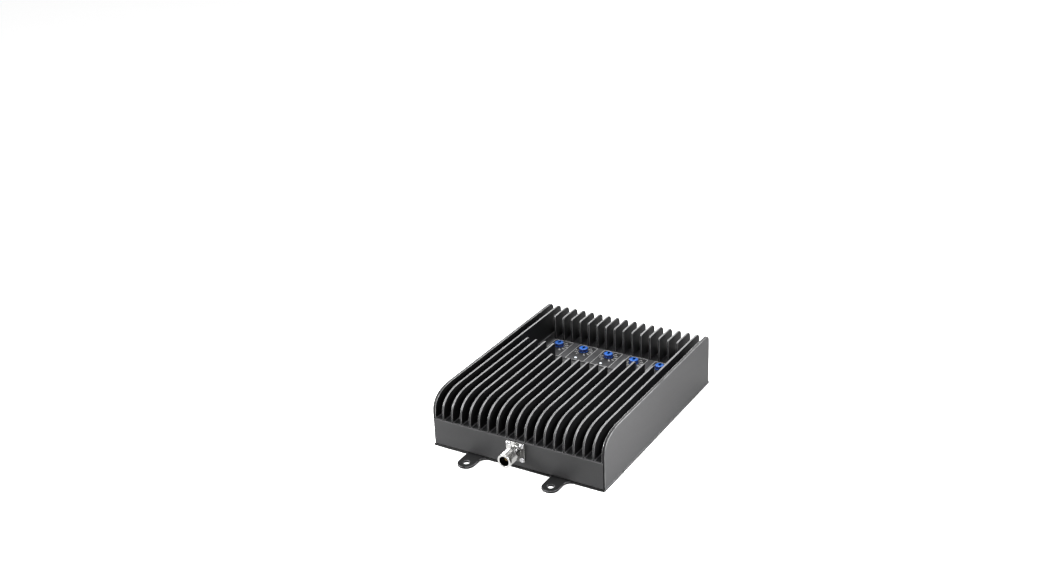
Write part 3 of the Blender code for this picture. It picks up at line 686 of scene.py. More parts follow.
def mark_faces(shape):
    """Mark the fins' narrow tops and ends, their roots for a painted highlight, and how much wear and
    painted highlight the walls' edges get.
    """
    edge = face_marks(shape, "fin_edge")
    root = face_marks(shape, "root")
    wear_and_highlight = face_marks(shape, "wear_and_highlight")
    for face in shape.faces:
        middle = face.calc_center_median()
        in_pocket = NOTCH_FRONT - MM < middle.y < POCKET_REAR + MM and middle.z < HEIGHT - MM
        in_wall = abs(middle.x) > WIDTH / 2 - WALL_THICK - 0.01 * MM
        above_deck = middle.z > DECK_TOP + FIN_ROOT_ROUND
        sawn_end = abs(face.normal.y) > 0.9 and abs(middle.y) > END - MM
        if sawn_end or abs(face.normal.x) < 0.9 and above_deck and not in_pocket and not in_wall:
            face[edge] = 1
        # Fin roots in front of the pocket get a painted highlight line.
        on_root = 0.05 < abs(face.normal.x) < 0.995 and abs(middle.z - DECK_TOP) < FIN_ROOT_ROUND
        if on_root and middle.y < POCKET_FRONT:
            face[root] = 1
        # The walls' inner edges get the strongest painted highlight, the low edges at both ends almost
        # none.
        if in_wall and face[wear_and_highlight] > 0:
            face[wear_and_highlight] = WALL_OUTER_WEAR_AND_HIGHLIGHT if abs(middle.x) > WIDTH / 2 - MM else WALL_INNER_WEAR_AND_HIGHLIGHT
        elif face[wear_and_highlight] > 0 and abs(middle.y) > END - MM and middle.z < HEIGHT - CROWN_DROP:
            face[wear_and_highlight] = LOW_FRONT_WEAR_AND_HIGHLIGHT


def make_housing(finish):
    shape = prism(comb_outline(), -LENGTH, LENGTH, "XZ")
    shape = combine(shape, "INTERSECT", [prism(side_outline(), -WIDTH, WIDTH, "YZ")])
    shape = combine(shape, "DIFFERENCE", pocket_cutters())
    floor = DECK_TOP - POCKET_EXTRA_DEPTH

    def outer_edge(middle, edge):
        on_front = middle.y < 0.1 * MM - END
        on_rear = middle.y > END - 0.1 * MM
        inside = abs(middle.x) < WIDTH / 2 - 1.2 * WALL_THICK and middle.z < DECK_TOP - MM
        near_pocket_floor = middle.z < floor + 1.2 * MM and not (on_front or on_rear)
        return not inside and not near_pocket_floor and middle.z > HOUSING_LOW.z + MM

    soften(shape, WALL_EDGE_ROUND, lambda middle, edge: abs(middle.x) > WIDTH / 2 - 0.01 * MM)
    soften(shape, EDGE_ROUND, outer_edge, wear_and_highlight_level=FIN_WEAR_AND_HIGHLIGHT)
    mark_faces(shape)
    sink = DECK_TOP - 0.8 * DECK_THICK
    bosses = []
    holes = []
    for spread, bottom, radius, screw in (
        (CASE_BOSS, HOUSING_LOW.z + PANEL_THICK + GAP, CASE_BOSS_RADIUS, CASE_SCREW),
        (BOARD_BOSS, BOARD_BOTTOM + BOARD_THICK + GAP, BOARD_BOSS_RADIUS, BOARD_SCREW),
    ):
        for x, y in corners(*spread):
            bosses.append(rod(x, y, bottom, sink, radius))
            holes.append(rod(x, y, 0, bottom + screw[3], screw[0] + GAP, 20))
    for dial in DIALS:
        under = DECK_TOP - 1.5 * DECK_THICK
        holes.append(rod(dial.x, dial.y, under, HEIGHT, BUSHING_HOLE_RADIUS))
        holes.append(rod(*light_pipe_place(dial), under, HEIGHT, PIPE_RADIUS + GAP, 24))
    shape = combine(shape, "UNION", bosses)
    shape = combine(shape, "DIFFERENCE", holes)
    piece("finned_housing_body", shape, finish, "finned_housing")


def socket_holes(side):
    """Cutters through an end panel for a socket's spigot and its four screws."""
    depth = 4 * PANEL_THICK
    turn = socket_frame(side)
    holes = [moved(rod(0, 0, -depth, depth, SPIGOT_RADIUS + GAP, 40), turn)]
    for x, y in corners(*FLANGE_HOLE):
        holes.append(moved(rod(x, y, -depth, depth, FLANGE_SCREW[0] + GAP, 20), turn))
    return holes


def make_panel(name, side, finish):
    """An end panel bent inwards at the bottom, where the case screws clamp it."""
    outer = side * LENGTH / 2
    bottom = HOUSING_LOW.z
    flange_top = bottom + PANEL_THICK
    inner = outer - side * PANEL_THICK
    reach = outer - side * PANEL_FLANGE_DEPTH
    bend = arc((inner, flange_top), (side * PANEL_THICK, PANEL_THICK), 0, -90, 6)
    outline = [(outer, DECK_TOP), *bend, (reach, bottom), (reach, flange_top)]
    outline += [(inner, flange_top), (inner, DECK_TOP)]
    shape = prism(outline, PANEL_LOW.x, PANEL_HIGH.x, "YZ")
    cutters = socket_holes(side)
    between_walls = WIDTH / 2 - WALL_THICK - GAP
    for end in (-1, 1):
        xs = sorted((end * between_walls, end * WIDTH))
        ys = sorted((inner, reach - side * MM))
        cutters.append(slab((xs[0], ys[0], 0), (xs[1], ys[1], flange_top + MM)))
        cutters.append(rod(end * CASE_BOSS[0], side * CASE_BOSS[1], 0, 2 * flange_top, CASE_SCREW[0] + GAP))
    if side > 0:
        cutters.append(moved(rod(0, 0, -2 * MM, 2 * MM, POWER_RADIUS + GAP, 40), power_frame()))
    shape = combine(shape, "DIFFERENCE", cutters)
    soften(shape, EDGE_ROUND, lambda middle, edge: edge.calc_length() > 3 * MM, wear_and_highlight_level=PANEL_WEAR_AND_HIGHLIGHT)
    piece(f"{name}_sheet", shape, finish, name)


def ear_outline(x):
    """One ear on the front edge, straight on its left side and flared on its right."""
    edge = -LENGTH / 2
    left, right = x - EAR_RADIUS, x + EAR_RADIUS
    tip = arc((x, edge - EAR_REACH), (EAR_RADIUS, EAR_RADIUS), 180, 360, 28)
    flare = arc((right + EAR_FLARE, edge - EAR_FLARE), (EAR_FLARE, EAR_FLARE), 180, 90, 10)
    return [(left, edge), *tip, *flare]


def make_bottom_plate(finish):
    """A flat plate with two ears on each end; the rear ears are the front ones turned half round."""
    left, right, edge = -WIDTH / 2, WIDTH / 2, -LENGTH / 2
    half = [(left, edge), *ear_outline(-EAR_X), *ear_outline(EAR_X), (right, edge)]
    outline = half + [(-x, -y) for x, y in half]
    shape = prism(outline, PLATE_LOW.z, PLATE_HIGH.z)
    shank, head, head_height, _ = CASE_SCREW
    narrow, wide = shank + GAP, head + GAP
    top = 2 * PLATE_HIGH.z
    countersink = [(0, top), (narrow, top), (narrow, head_height + GAP)]
    countersink += [(wide, GAP), (wide, -MM), (0, -MM)]
    cutters = []
    for ear in corners(EAR_X, LENGTH / 2 + EAR_REACH):
        cutters.append(rod(*ear, -MM, top, EAR_HOLE_RADIUS, 40))
    for boss in corners(*CASE_BOSS):
        cutters.append(moved(lathe(countersink, 32), shift(*boss)))
    shape = combine(shape, "DIFFERENCE", cutters)
    soften(shape, PLATE_EDGE_ROUND)
    wear_and_highlight = face_marks(shape, "wear_and_highlight")
    # The plate's side edges get a strong painted highlight line, its ends none so they stay in painted
    # shade, and its ears some wear and painted highlight.
    for face in shape.faces:
        middle = face.calc_center_median()
        if abs(abs(middle.y) - LENGTH / 2) < MM:
            face[wear_and_highlight] *= PLATE_END_WEAR_AND_HIGHLIGHT
        elif abs(middle.x) > WIDTH / 2 - MM:
            face[wear_and_highlight] *= PLATE_SIDE_WEAR_AND_HIGHLIGHT
        else:
            face[wear_and_highlight] *= PLATE_EAR_WEAR_AND_HIGHLIGHT
    piece("bottom_plate_sheet", shape, finish, "bottom_plate")


# ---- dials

CELL_SIZE = (24.4 * MM, 38 * MM)
CELL_CORNER = 1.6 * MM
LINE_WIDTH = 0.35 * MM
PRINT_THICK = 0.04 * MM
TICK_RADII = (6.8 * MM, 8.4 * MM)
TICK_WIDTH = 0.75 * MM
NUMERAL_RADIUS = 10 * MM
NUMERAL_SIZE = 2.5 * MM
NUMERAL_BOLD = 0.08 * MM
SCALE_SWEEP = 300
SCALE_STEPS = 10
SCALE_UNIT = 3
KNOB_RADIUS = (KNOB_HIGH.x - KNOB_LOW.x) / 2
KNOB_FLUTES = 10
KNOB_FLUTE_DEPTH = 0.45 * MM
KNOB_BORE_RADIUS = 2.7 * MM


def make_overlay(sheet, cell, ink):
    """The dial sheet, its dark cells, and the printed borders, ticks and numbers."""
    middle = (OVERLAY_LOW + OVERLAY_HIGH) / 2
    size = OVERLAY_HIGH - OVERLAY_LOW
    outside = rounded_rectangle(middle, size, 2 * MM)
    shape = prism(outside, OVERLAY_LOW.z, OVERLAY_HIGH.z)
    shape = combine(shape, "DIFFERENCE", dial_openings(OVERLAY_LOW.z - MM, HEIGHT))
    soften(shape, 0.08 * MM, segments=2)
    piece("dial_overlay_sheet", shape, sheet, "dial_overlay")

    top = OVERLAY_HIGH.z
    cells = []
    prints = []
    for dial in DIALS:
        centre = (dial.x, middle.y)
        border = rounded_rectangle(centre, CELL_SIZE, CELL_CORNER)
        inner_size = [side - 2 * LINE_WIDTH for side in CELL_SIZE]
        inner = rounded_rectangle(centre, inner_size, CELL_CORNER - LINE_WIDTH)
        prints.append(band(border, inner, top - PRINT_THICK, top + PRINT_THICK))
        cells.append(prism(inner, top - PRINT_THICK, top + PRINT_THICK / 2))
        prints += scale_marks(dial, top)
    shape = combine(joined(cells), "DIFFERENCE", dial_openings(top - MM, top + MM))
    piece("dial_cells", shape, cell)
    piece("dial_print", joined(prints), ink)


def dial_openings(low, high):
    openings = []
    for dial in DIALS:
        openings.append(rod(dial.x, dial.y, low, high, BUSHING_HOLE_RADIUS + GAP))
        openings.append(rod(*light_pipe_place(dial), low, high, PIPE_RADIUS + GAP, 24))
    return openings


def scale_marks(dial, top):
    """Ticks round a dial with a number at each: 0 on the left, rising clockwise."""
    marks = []
    inner, outer = TICK_RADII
    for step in range(SCALE_STEPS + 1):
        turn = SCALE_SWEEP * (0.5 - step / SCALE_STEPS)
        spin = shift(dial.x, dial.y, top) @ turned(turn, "Z")
        tick = slab((-TICK_WIDTH / 2, inner, -PRINT_THICK), (TICK_WIDTH / 2, outer, PRINT_THICK))
        marks.append(moved(tick, spin))
        place = spin @ shift(0, NUMERAL_RADIUS) @ turned(-turn, "Z")
        marks.append(moved(numeral(str(step * SCALE_UNIT)), place))
    return marks


def numeral(text):
    """A plain number as a thin raised print."""
    curve = bpy.data.curves.new("numeral", "FONT")
    curve.body = text
    curve.size = NUMERAL_SIZE
    curve.align_x = "CENTER"
    curve.align_y = "CENTER"
    curve.extrude = PRINT_THICK
    curve.offset = NUMERAL_BOLD
    curve.resolution_u = 2
    drawn = placed("numeral", curve)
    graph = bpy.context.evaluated_depsgraph_get()
    mesh = bpy.data.meshes.new_from_object(drawn.evaluated_get(graph))
    shape = bmesh.new()
    shape.from_mesh(mesh)
    bmesh.ops.remove_doubles(shape, verts=shape.verts, dist=0.001 * MM)
    bmesh.ops.dissolve_degenerate(shape, edges=shape.edges, dist=0.001 * MM)
    bpy.data.objects.remove(drawn)
    bpy.data.meshes.remove(mesh)
    return shape


def knob_ring(shape, height, inset, flute):
    """One ring of a fluted knob."""
    steps = 12 * KNOB_FLUTES
    ring = []
    for i in range(steps):
        angle = math.tau * i / steps
        dip = ((1 - math.cos(KNOB_FLUTES * angle)) / 2) ** 2
        radius = KNOB_RADIUS - inset - flute * dip
        ring.append(shape.verts.new((radius * math.cos(angle), radius * math.sin(angle), height)))
    return ring


def knob_shape():
    """A fluted knob with a plain skirt, a rounded crown and an arrow sunk in its top."""
    shape = bmesh.new()
    base, top = KNOB_LOW.z, KNOB_HIGH.z
    rounding = 0.7 * MM
    levels = [(base, 0.15 * MM, 0), (base + 0.15 * MM, 0, 0), (base + 0.7 * MM, 0, 0)]
    levels += [(base + 1 * MM, 0.1 * MM, KNOB_FLUTE_DEPTH)]
    for inset, height in arc((rounding, top - rounding), (-rounding, rounding), 0, 90, 5):
        levels.append((height, 0.1 * MM + inset, KNOB_FLUTE_DEPTH))
    levels.append((top, 1.6 * MM, 0.2 * KNOB_FLUTE_DEPTH))
    rings = [knob_ring(shape, *level) for level in levels]
    for first, second in zip(rings, rings[1:]):
        bridge(shape, first, second)
    shape.faces.new(rings[0])
    shape.faces.new(rings[-1])
    bmesh.ops.recalc_face_normals(shape, faces=shape.faces)
    shaft_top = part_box("dial_shaft_1")[1].z + GAP
    bore = rod(0, 0, 0, shaft_top, KNOB_BORE_RADIUS)
    arrow = [(0.65, -1.6), (0.65, 1.6), (1.7, 1.6), (0, 4.3), (-1.7, 1.6), (-0.65, 1.6), (-0.65, -1.6)]
    sunk = prism([(x * MM, y * MM) for x, y in arrow], top - 0.8 * MM, top + MM)
    shape = combine(shape, "DIFFERENCE", [bore, sunk])
    return soften(shape, 0.12 * MM, lambda middle, edge: middle.z > top - 0.01 * MM, 2)


def make_knobs(plastic, steel):
    mesh = finished("gain_knob", knob_shape(), plastic)
    for number, dial in enumerate(DIALS, 1):
        at = shift(dial.x, dial.y)
        shown(f"gain_knob_cap_{number}", mesh, f"gain_knob_{number}", f"knob_{number}", at)
        make_shaft(number, dial, steel)


def make_shaft(number, dial, steel):
    """The D-shaped shaft with a chamfered end."""
    node = f"dial_shaft_{number}"
    low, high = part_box(node)
    radius = (high.x - low.x) / 2
    chamfer = 0.3 * MM
    profile = [(0, high.z), (radius - chamfer, high.z), (radius, high.z - chamfer)]
    profile += [(radius, low.z + chamfer), (radius - chamfer, low.z), (0, low.z)]
    flat = slab((-MM * 5, -MM * 5, KNOB_LOW.z), (MM * 5, 0.6 * MM - radius, HEIGHT))
    shape = combine(lathe(profile, 40), "DIFFERENCE", [flat])
    moved(shape, shift(dial.x, dial.y))
    piece(f"{node}_rod", shape, steel, node, f"knob_{number}")


def make_light_pipes(finish):
    low, high = PIPE_LOW.z, PIPE_HIGH.z
    radius = PIPE_RADIUS
    dome = arc((0, high - radius / 2), (radius, radius / 2), 90, 0, 8)
    foot = [(radius, low + 0.2 * MM), (radius - 0.2 * MM, low), (0, low)]
    for number, dial in enumerate(DIALS, 1):
        place = shift(*light_pipe_place(dial))
        shape = moved(lathe([(0, high), *dome[1:], *foot], 24), place)
        piece(f"light_pipe_rod_{number}", shape, finish, f"light_pipe_{number}")


# ---- screws


def cross_recess(top, size, depth):
    """A tapered cross that sinks into a screw's head."""
    arms = []
    for turn in (0, 90):
        half, thin = size / 2, 0.16 * size
        shape = slab((-half, -thin / 2, -depth), (half, thin / 2, depth))
        for vert in shape.verts:
            if vert.co.z < 0:
                vert.co.x *= 0.45
                vert.co.y *= 0.8
        arms.append(moved(shape, shift(0, 0, top) @ turned(turn, "Z")))
    return arms


def screw_mesh(name, screw, countersunk, finish):
    """A screw with its seat at its origin: a pan head above it, or a flat head flush with it."""
    shank, head, head_height, length = screw
    thread_start = head_height if countersunk else 0.6 * MM
    pitch = 0.5 * MM
    cut = 0.16 * shank

    def thread(radius, height, turn):
        if height > -thread_start or radius < shank * 0.99 or height < 0.5 * pitch - length:
            return radius
        phase = (height / pitch - turn) % 1
        return radius - cut * abs(2 * phase - 1)

    if countersunk:
        profile = [(0, 0), (head - 0.1 * MM, 0), (head, -0.1 * MM), (shank, -head_height)]
    else:
        dome = arc((0, 0.25 * head_height), (head, 0.75 * head_height), 90, 0, 8)
        profile = [*dome, (head, 0.1 * MM), (head - 0.1 * MM, 0), (shank, 0)]
    rows = int((length - thread_start) / pitch * 4)
    for row in range(rows + 1):
        profile.append((shank, -thread_start - (length - thread_start) * row / rows))
    profile.append((0, -length))
    shape = lathe(profile, 28, thread)
    top = 0 if countersunk else head_height
    shape = combine(shape, "DIFFERENCE", cross_recess(top, 1.15 * head, 0.55 * head_height))
    return finished(name, shape, finish)


def make_screws(bright, black):
    flange = screw_mesh("flange_screw", FLANGE_SCREW, False, bright)
    board = screw_mesh("board_screw", BOARD_SCREW, False, bright)
    case = screw_mesh("case_screw", CASE_SCREW, True, black)
    flip = turned(180, "X")
    for i in range(4):
        turn = turned(SCREW_TURN * (i + 1), "Z")
        node = f"case_screw_{i + 1}"
        at = shift(*corners(*CASE_BOSS)[i], GAP) @ flip @ turn
        shown(f"{node}_flat", case, node, at=at)
        node = f"board_screw_{i + 1}"
        at = shift(*corners(*BOARD_BOSS)[i], BOARD_BOTTOM - GAP) @ flip @ turn
        shown(f"{node}_pan", board, node, at=at)
        for name, side in (("front", -1), ("rear", 1)):
            node = f"{name}_socket_screw_{i + 1}"
            seat = shift(*corners(*FLANGE_HOLE)[i], FLANGE_THICK + 2 * GAP)
            at = socket_frame(side) @ seat @ turn
            shown(f"{node}_pan", flange, node, at=at)


# ---- sockets


def socket_frame(side):
    """Matrix that points local +Z out of an end panel, with its origin on the outer face."""
    return shift(SOCKET_X, side * LENGTH / 2, SOCKET_Z) @ turned(-90 * side, "X")


def power_frame():
    return shift(POWER_X - SOCKET_X, 0) @ socket_frame(1)


def shell_profile():
    """The shell's outer and inner outline, with closely spaced rows along its thread."""
    flange_top = GAP + FLANGE_THICK
    groove = THREAD_RADIUS - 1.1 * MM
    reach = SOCKET_REACH
    chamfer = 0.35 * MM
    collar = reach - 2.4 * MM
    thread_high, thread_low = reach - 3.9 * MM, 11 * MM
    profile = [
        (MOUTH_RADIUS + 0.3 * MM, reach), (THREAD_RADIUS - chamfer, reach),
        (THREAD_RADIUS, reach - chamfer), (THREAD_RADIUS, collar),
        (THREAD_RADIUS - 0.25 * MM, collar - 0.12 * MM), (groove, collar - 0.3 * MM),
        (groove, thread_high + 0.35 * MM),
    ]
    rows = round((thread_high - thread_low) / THREAD_PITCH * 8)
    for row in range(rows + 1):
        profile.append((THREAD_RADIUS, thread_high - (thread_high - thread_low) * row / rows))
    profile += [
        (NECK_RADIUS + 0.2 * MM, 10.3 * MM), (NECK_RADIUS, 10 * MM),
        (NECK_RADIUS, flange_top + 0.7 * MM), (NECK_RADIUS + 0.5 * MM, flange_top + 0.1 * MM),
        (NECK_RADIUS + 0.5 * MM, flange_top - 0.5 * MM), (SPIGOT_RADIUS, GAP + 0.5 * MM),
        (SPIGOT_RADIUS, -SPIGOT_DEPTH), (INSULATOR_RADIUS, -SPIGOT_DEPTH),
        (INSULATOR_RADIUS, MOUTH_FLOOR), (MOUTH_RADIUS, MOUTH_FLOOR),
        (MOUTH_RADIUS, reach - 0.3 * MM),
    ]
    return profile, thread_low, thread_high


def mark_shell(shell, thread_low, thread_high):
    """Mark the thread's roots by their depth, and the mouth's inside, where the finish paints shade."""
    root = face_marks(shell, "root")
    inside = face_marks(shell, "inside")
    for face in shell.faces:
        middle = face.calc_center_median()
        reach = Vector((middle.x, middle.y)).length
        depth = THREAD_RADIUS - reach
        if reach < MOUTH_RADIUS + 0.05 * MM and middle.z > FLANGE_THICK:
            face[inside] = 1
        if thread_low < middle.z < thread_high and depth < 1.2 * THREAD_DEPTH:
            face[root] = max(0, min(1, depth / THREAD_DEPTH))


def make_shell(name, side, nickel):
    """A flanged shell with a real helical thread."""
    profile, thread_low, thread_high = shell_profile()

    def thread(radius, height, turn):
        if radius < THREAD_RADIUS * 0.999 or not thread_low <= height <= thread_high + 1e-6:
            return radius
        phase = (height / THREAD_PITCH - turn) % 1
        return radius - THREAD_DEPTH * (1 - abs(2 * phase - 1)) ** 0.8

    shell = lathe(profile, 72, thread)
    square = rounded_rectangle((0, 0), (FLANGE_SIZE, FLANGE_SIZE), 1.5 * MM)
    flange = prism(square, GAP, GAP + FLANGE_THICK)
    cutters = [rod(0, 0, -MM, 5 * MM, SPIGOT_RADIUS - 0.5 * MM)]
    for x, y in corners(*FLANGE_HOLE):
        cutters.append(rod(x, y, -MM, 5 * MM, FLANGE_SCREW[0] + GAP, 24))
    flange = soften(combine(flange, "DIFFERENCE", cutters), 0.25 * MM)
    shell = combine(shell, "UNION", [flange])
    mark_shell(shell, thread_low, thread_high)
    piece(f"{name}_shell_body", moved(shell, socket_frame(side)), nickel, f"{name}_shell")


def make_insulator(name, side, ptfe):
    bore = CONTACT_RADIUS + GAP
    front = MOUTH_FLOOR - MM
    edge = INSULATOR_RADIUS - GAP
    insulator = [
        (bore + 0.2 * MM, front), (edge - 0.2 * MM, front), (edge, front - 0.2 * MM),
        (edge, -SPIGOT_DEPTH), (bore, -SPIGOT_DEPTH), (bore, front - 0.2 * MM),
    ]
    shape = moved(lathe(insulator, 40), socket_frame(side))
    piece(f"{name}_insulator_ring", shape, ptfe, f"{name}_insulator")


def make_contact(name, side, gold):
    """The hollow centre contact, slotted across twice."""
    tip = SOCKET_REACH - 5 * MM
    back = -SPIGOT_DEPTH - 3 * MM
    hole = 0.85 * MM
    contact = [
        (hole, tip - 0.1 * MM), (hole + 0.1 * MM, tip), (CONTACT_RADIUS - 0.2 * MM, tip),
        (CONTACT_RADIUS, tip - 0.3 * MM), (CONTACT_RADIUS, back + 0.2 * MM),
        (CONTACT_RADIUS - 0.2 * MM, back), (0, back), (0, tip - 5 * MM), (hole, tip - 5 * MM),
    ]
    half, thin, bottom = 2 * MM, 0.15 * MM, tip - 4 * MM
    slots = [slab((-x, -y, bottom), (x, y, tip + MM)) for x, y in ((half, thin), (thin, half))]
    shape = moved(combine(lathe(contact, 40), "DIFFERENCE", slots), socket_frame(side))
    piece(f"{name}_contact_pin", shape, gold, f"{name}_contact")


def make_power_socket(plastic, steel):
    """The direct-current socket: bezel, barrel, metal pin and sleeve."""
    bezel, mouth, pin = POWER_RADIUS + 1.6 * MM, 3.1 * MM, 1.05 * MM
    reach, depth, floor = 2.4 * MM, 13 * MM, -8 * MM
    rim = 0.8 * MM
    profile = [
        (0, floor), (mouth + 0.3 * MM, floor), (mouth + 0.3 * MM, reach - 0.4 * MM),
        (mouth + 0.7 * MM, reach), *arc((bezel - rim, reach - rim), (rim, rim), 90, 0, 6),
        (bezel, GAP), (POWER_RADIUS, GAP), (POWER_RADIUS, -depth), (0, -depth),
    ]
    at = power_frame()
    piece("power_socket_body", moved(lathe(profile, 48), at), plastic, "power_socket")
    centre = [(0, reach - MM), *arc((0, reach - 1.6 * MM), (pin, 0.6 * MM), 90, 0, 6)[1:]]
    centre += [(pin, floor - MM), (0, floor - MM)]
    piece("power_socket_pin", moved(lathe(centre, 24), at), steel)
    outside = mouth + 0.35 * MM
    sleeve = [(outside, -MM), (outside, floor), (mouth, floor)]
    sleeve += [(mouth, -1.3 * MM), (mouth + 0.15 * MM, -MM)]
    piece("power_socket_sleeve", moved(lathe(sleeve, 40), at), steel)


# ---- hidden pieces


def dress_hidden_nodes(finishes):
    """Nodes inside the case keep their CAD shape, with softened edges and a real finish."""
    for name, obj in frame["nodes"].items():
        for ending, finish in finishes.items():
            if ending in name and not obj.hide_render:
                obj.data.materials.clear()
                obj.data.materials.append(finish.material)
                weld = obj.modifiers.new("weld", "WELD")
                weld.merge_threshold = 0.001 * MM
                bevel = obj.modifiers.new("soft_edges", "BEVEL")
                bevel.width = 0.15 * MM
                bevel.segments = 2
                bevel.limit_method = "ANGLE"
                bevel.angle_limit = SHARP_ANGLE


# ---- studio


FLOOR_BOUNCE = 0.3
FLOOR_GLOW = 0.5
WORLD_DARK = 0.04
WORLD_BRIGHT = 0.75
LIGHT_AIM = Vector((0, 0, 30 * MM))
# Area lights: place in metres, size in metres, watts
SOFTBOXES = {
    "back_softbox": ((-0.85, 1.35, 0.8), (1.8, 0.9), 34),
    "top_softbox": ((-0.2, -0.1, 1.5), (1.2, 1.2), 20),
    "left_softbox": ((-0.52, -0.38, 0.28), (0.35, 0.25), 7.5),
    "right_softbox": ((0.26, -0.14, 0.24), (0.15, 0.12), 1.3),
}
# The camera as solved from the photo: place in metres, azimuth, elevation and roll in degrees
CAMERA_PLACE = (0.6685, -1.1818, 0.7704)
CAMERA_ANGLES = (31.747, 24.032, -2.57)
CAMERA_LENS = 46.57


def make_camera():
    camera = bpy.data.cameras.new("camera")
    camera.lens = CAMERA_LENS
    azimuth, elevation, roll = CAMERA_ANGLES
    aim = turned(azimuth, "Z") @ turned(90 - elevation, "X") @ turned(roll, "Z")
    obj = placed("camera", camera)
    obj.matrix_world = shift(*CAMERA_PLACE) @ aim
    bpy.context.scene.camera = obj


def softbox(name, location, size, power):
    """A rectangular light that faces the object."""
    light = bpy.data.lights.new(name, "AREA")
    light.shape = "RECTANGLE"
    light.size, light.size_y = size
    light.energy = power
    obj = placed(name, light)
    obj.location = location
    obj.visible_camera = False
    obj.rotation_mode = "QUATERNION"
    obj.rotation_quaternion = (LIGHT_AIM - Vector(location)).to_track_quat("-Z", "Y")


def pale_floor():
    """White paper to the camera and in mirrors, but a dim floor that keeps black parts black."""
    finish = Finish("pale_floor", "", (FLOOR_BOUNCE, FLOOR_BOUNCE, FLOOR_BOUNCE), 0.9)
    finish.layer(finish.noise(0.4), roughness=0.95)
    rays = finish.node("ShaderNodeLightPath").outputs
    finish.layer(rays["Is Camera Ray"], colour=(0.9, 0.9, 0.9))
    finish.set("Emission Color", (1, 1, 1, 1))
    finish.set("Emission Strength", 0)
    finish.mix("Emission Strength", "FLOAT", rays["Is Glossy Ray"], FLOOR_GLOW)
    finish.mix("Emission Strength", "FLOAT", rays["Is Camera Ray"], FLOOR_GLOW)
    return finish


def make_floor():
    shape = bmesh.new()
    bmesh.ops.create_grid(shape, x_segments=8, y_segments=8, size=30)
    mesh = mesh_of("floor", shape)
    mesh.materials.append(pale_floor().material)
    floor = placed("floor", mesh)
    floor.location.z = -0.2 * MM


def make_world():
    """White to the camera; to the object, a soft light from the upper left that fades to the right."""
    world = bpy.data.worlds.new("studio")
    bpy.context.scene.world = world
    nodes = Nodes(world)
    way = nodes.node("ShaderNodeTexCoord").outputs["Generated"]
    inputs = {0: way, 1: Vector((-0.55, 0.35, 0.75)).normalized()}
    toward = nodes.node("ShaderNodeVectorMath", inputs, operation="DOT_PRODUCT").outputs["Value"]
    inputs = {"Value": toward, "From Min": -0.3, "To Min": WORLD_DARK, "To Max": WORLD_BRIGHT}
    fade = nodes.node("ShaderNodeMapRange", inputs).outputs["Result"]
    camera_ray = nodes.node("ShaderNodeLightPath").outputs["Is Camera Ray"]
    strength = nodes.node("ShaderNodeMix", {"Factor": camera_ray, "A": fade, "B": 1})
    background = nodes.tree.nodes["Background"]
    nodes.feed((1, 1, 1, 1), background.inputs["Color"])
    nodes.feed(strength.outputs["Result"], background.inputs["Strength"])


def make_studio():
    make_floor()
    make_world()
    for name, settings in SOFTBOXES.items():
        softbox(name, *settings)
    bpy.context.scene.view_settings.view_transform = "Standard"


# ---- build

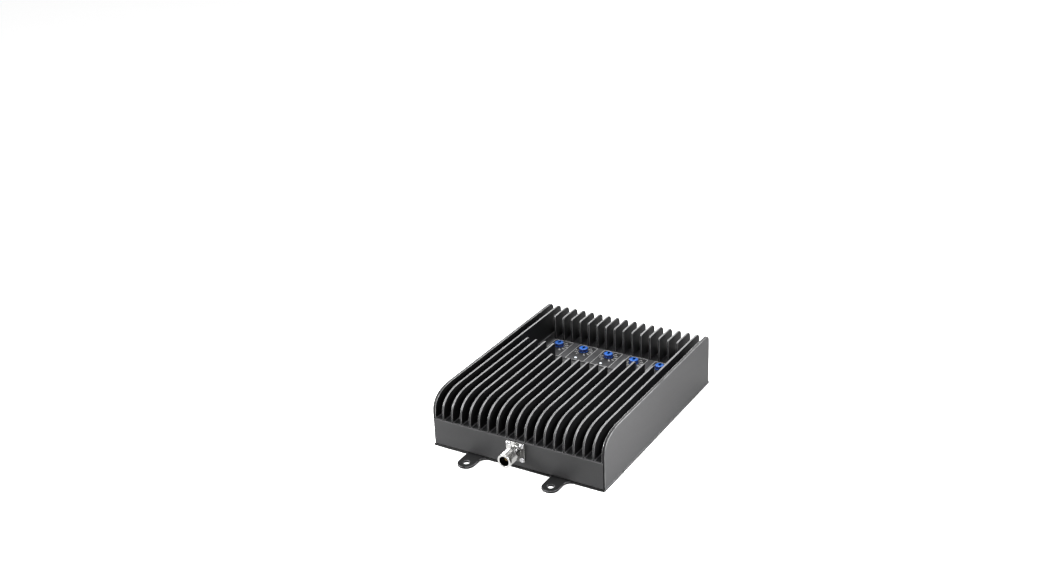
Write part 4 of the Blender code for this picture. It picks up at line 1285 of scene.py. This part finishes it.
anodised = black_anodised()
coated = powder_coat("charcoal_powder_coat", 0.033, 0.3)
plastic = black_plastic()
steel = mottled(
    "zinc_plated_steel", "bright_steel", [(0.7, 0.7, 0.71), (0.58, 0.58, 0.6)], [0.2, 0.34],
    (1.5 * MM, 0.35, 0.7), (0.2 * MM, 0.004 * MM), 1,
)
black_steel = mottled(
    "black_oxide_steel", "black_steel", [(0.03, 0.03, 0.032), (0.08, 0.08, 0.08)], [0.36, 0.5],
    (1 * MM, 0.45, 0.7), (0.2 * MM, 0.006 * MM), 0.7,
)
gold = mottled(
    "gold_plate", "gold_plate", [(0.83, 0.6, 0.24), (0.7, 0.47, 0.18)], [0.18, 0.3],
    (1.5 * MM, 0.35, 0.7), (0.15 * MM, 0.003 * MM), 1,
)
ptfe = mottled(
    "white_fluoropolymer", "white_ptfe", [(0.82, 0.82, 0.8), (0.74, 0.74, 0.72)], [0.45, 0.55],
    (2 * MM,), (0.2 * MM, 0.008 * MM),
)
silicone = mottled(
    "grey_gap_filler", "grey_silicone", [(0.4, 0.42, 0.45), (0.52, 0.54, 0.56)], [0.8, 0.9],
    (1 * MM, 0.45, 0.7), (0.4 * MM, 0.03 * MM),
)
ceramic = mottled(
    "silvered_ceramic", "silvered_ceramic", [(0.72, 0.71, 0.68), (0.56, 0.54, 0.5)], [0.38, 0.55],
    (2 * MM, 0.45, 0.7), (0.3 * MM, 0.01 * MM), 0.6,
)
jacket = mottled(
    "black_cable_jacket", "black_cable", [(0.015, 0.015, 0.016), (0.03, 0.03, 0.03)], [0.5, 0.62],
    (2 * MM,), (0.2 * MM, 0.01 * MM),
)
ink = mottled(
    "white_screen_ink", "printed_overlay", [(0.55, 0.55, 0.545), (0.38, 0.38, 0.38)], [0.55, 0.7],
    (0.8 * MM, 0.5, 0.75), (0.15 * MM, 0.008 * MM),
)
nickel = bright_nickel()

make_housing(anodised)
make_panel("front_panel", -1, coated)
make_panel("rear_panel", 1, coated)
make_bottom_plate(powder_coat("dark_powder_coat", 0.008, 0.17))
make_overlay(
    overlay_sheet("matt_overlay_sheet", (0.03, 0.03, 0.032), 0.6, (0.042, 0.042, 0.044), 12 * MM),
    overlay_sheet("dark_overlay_cell", (0.01, 0.01, 0.0115), 0.5, (0.014, 0.014, 0.0155), 10 * MM),
    ink,
)
make_knobs(blue_plastic(), steel)
make_light_pipes(clear_plastic())
for name, side in (("front_socket", -1), ("rear_socket", 1)):
    make_shell(name, side, nickel)
    make_insulator(name, side, ptfe)
    make_contact(name, side, gold)
make_power_socket(plastic, steel)
make_screws(steel, black_steel)
dress_hidden_nodes({
    "circuit_board": circuit_laminate(),
    "attenuator": plastic,
    "amplifier": gold,
    "thermal_pad": silicone,
    "shield": tinned_steel(),
    "filter": ceramic,
    "pigtail": jacket,
})
make_studio()
make_camera()
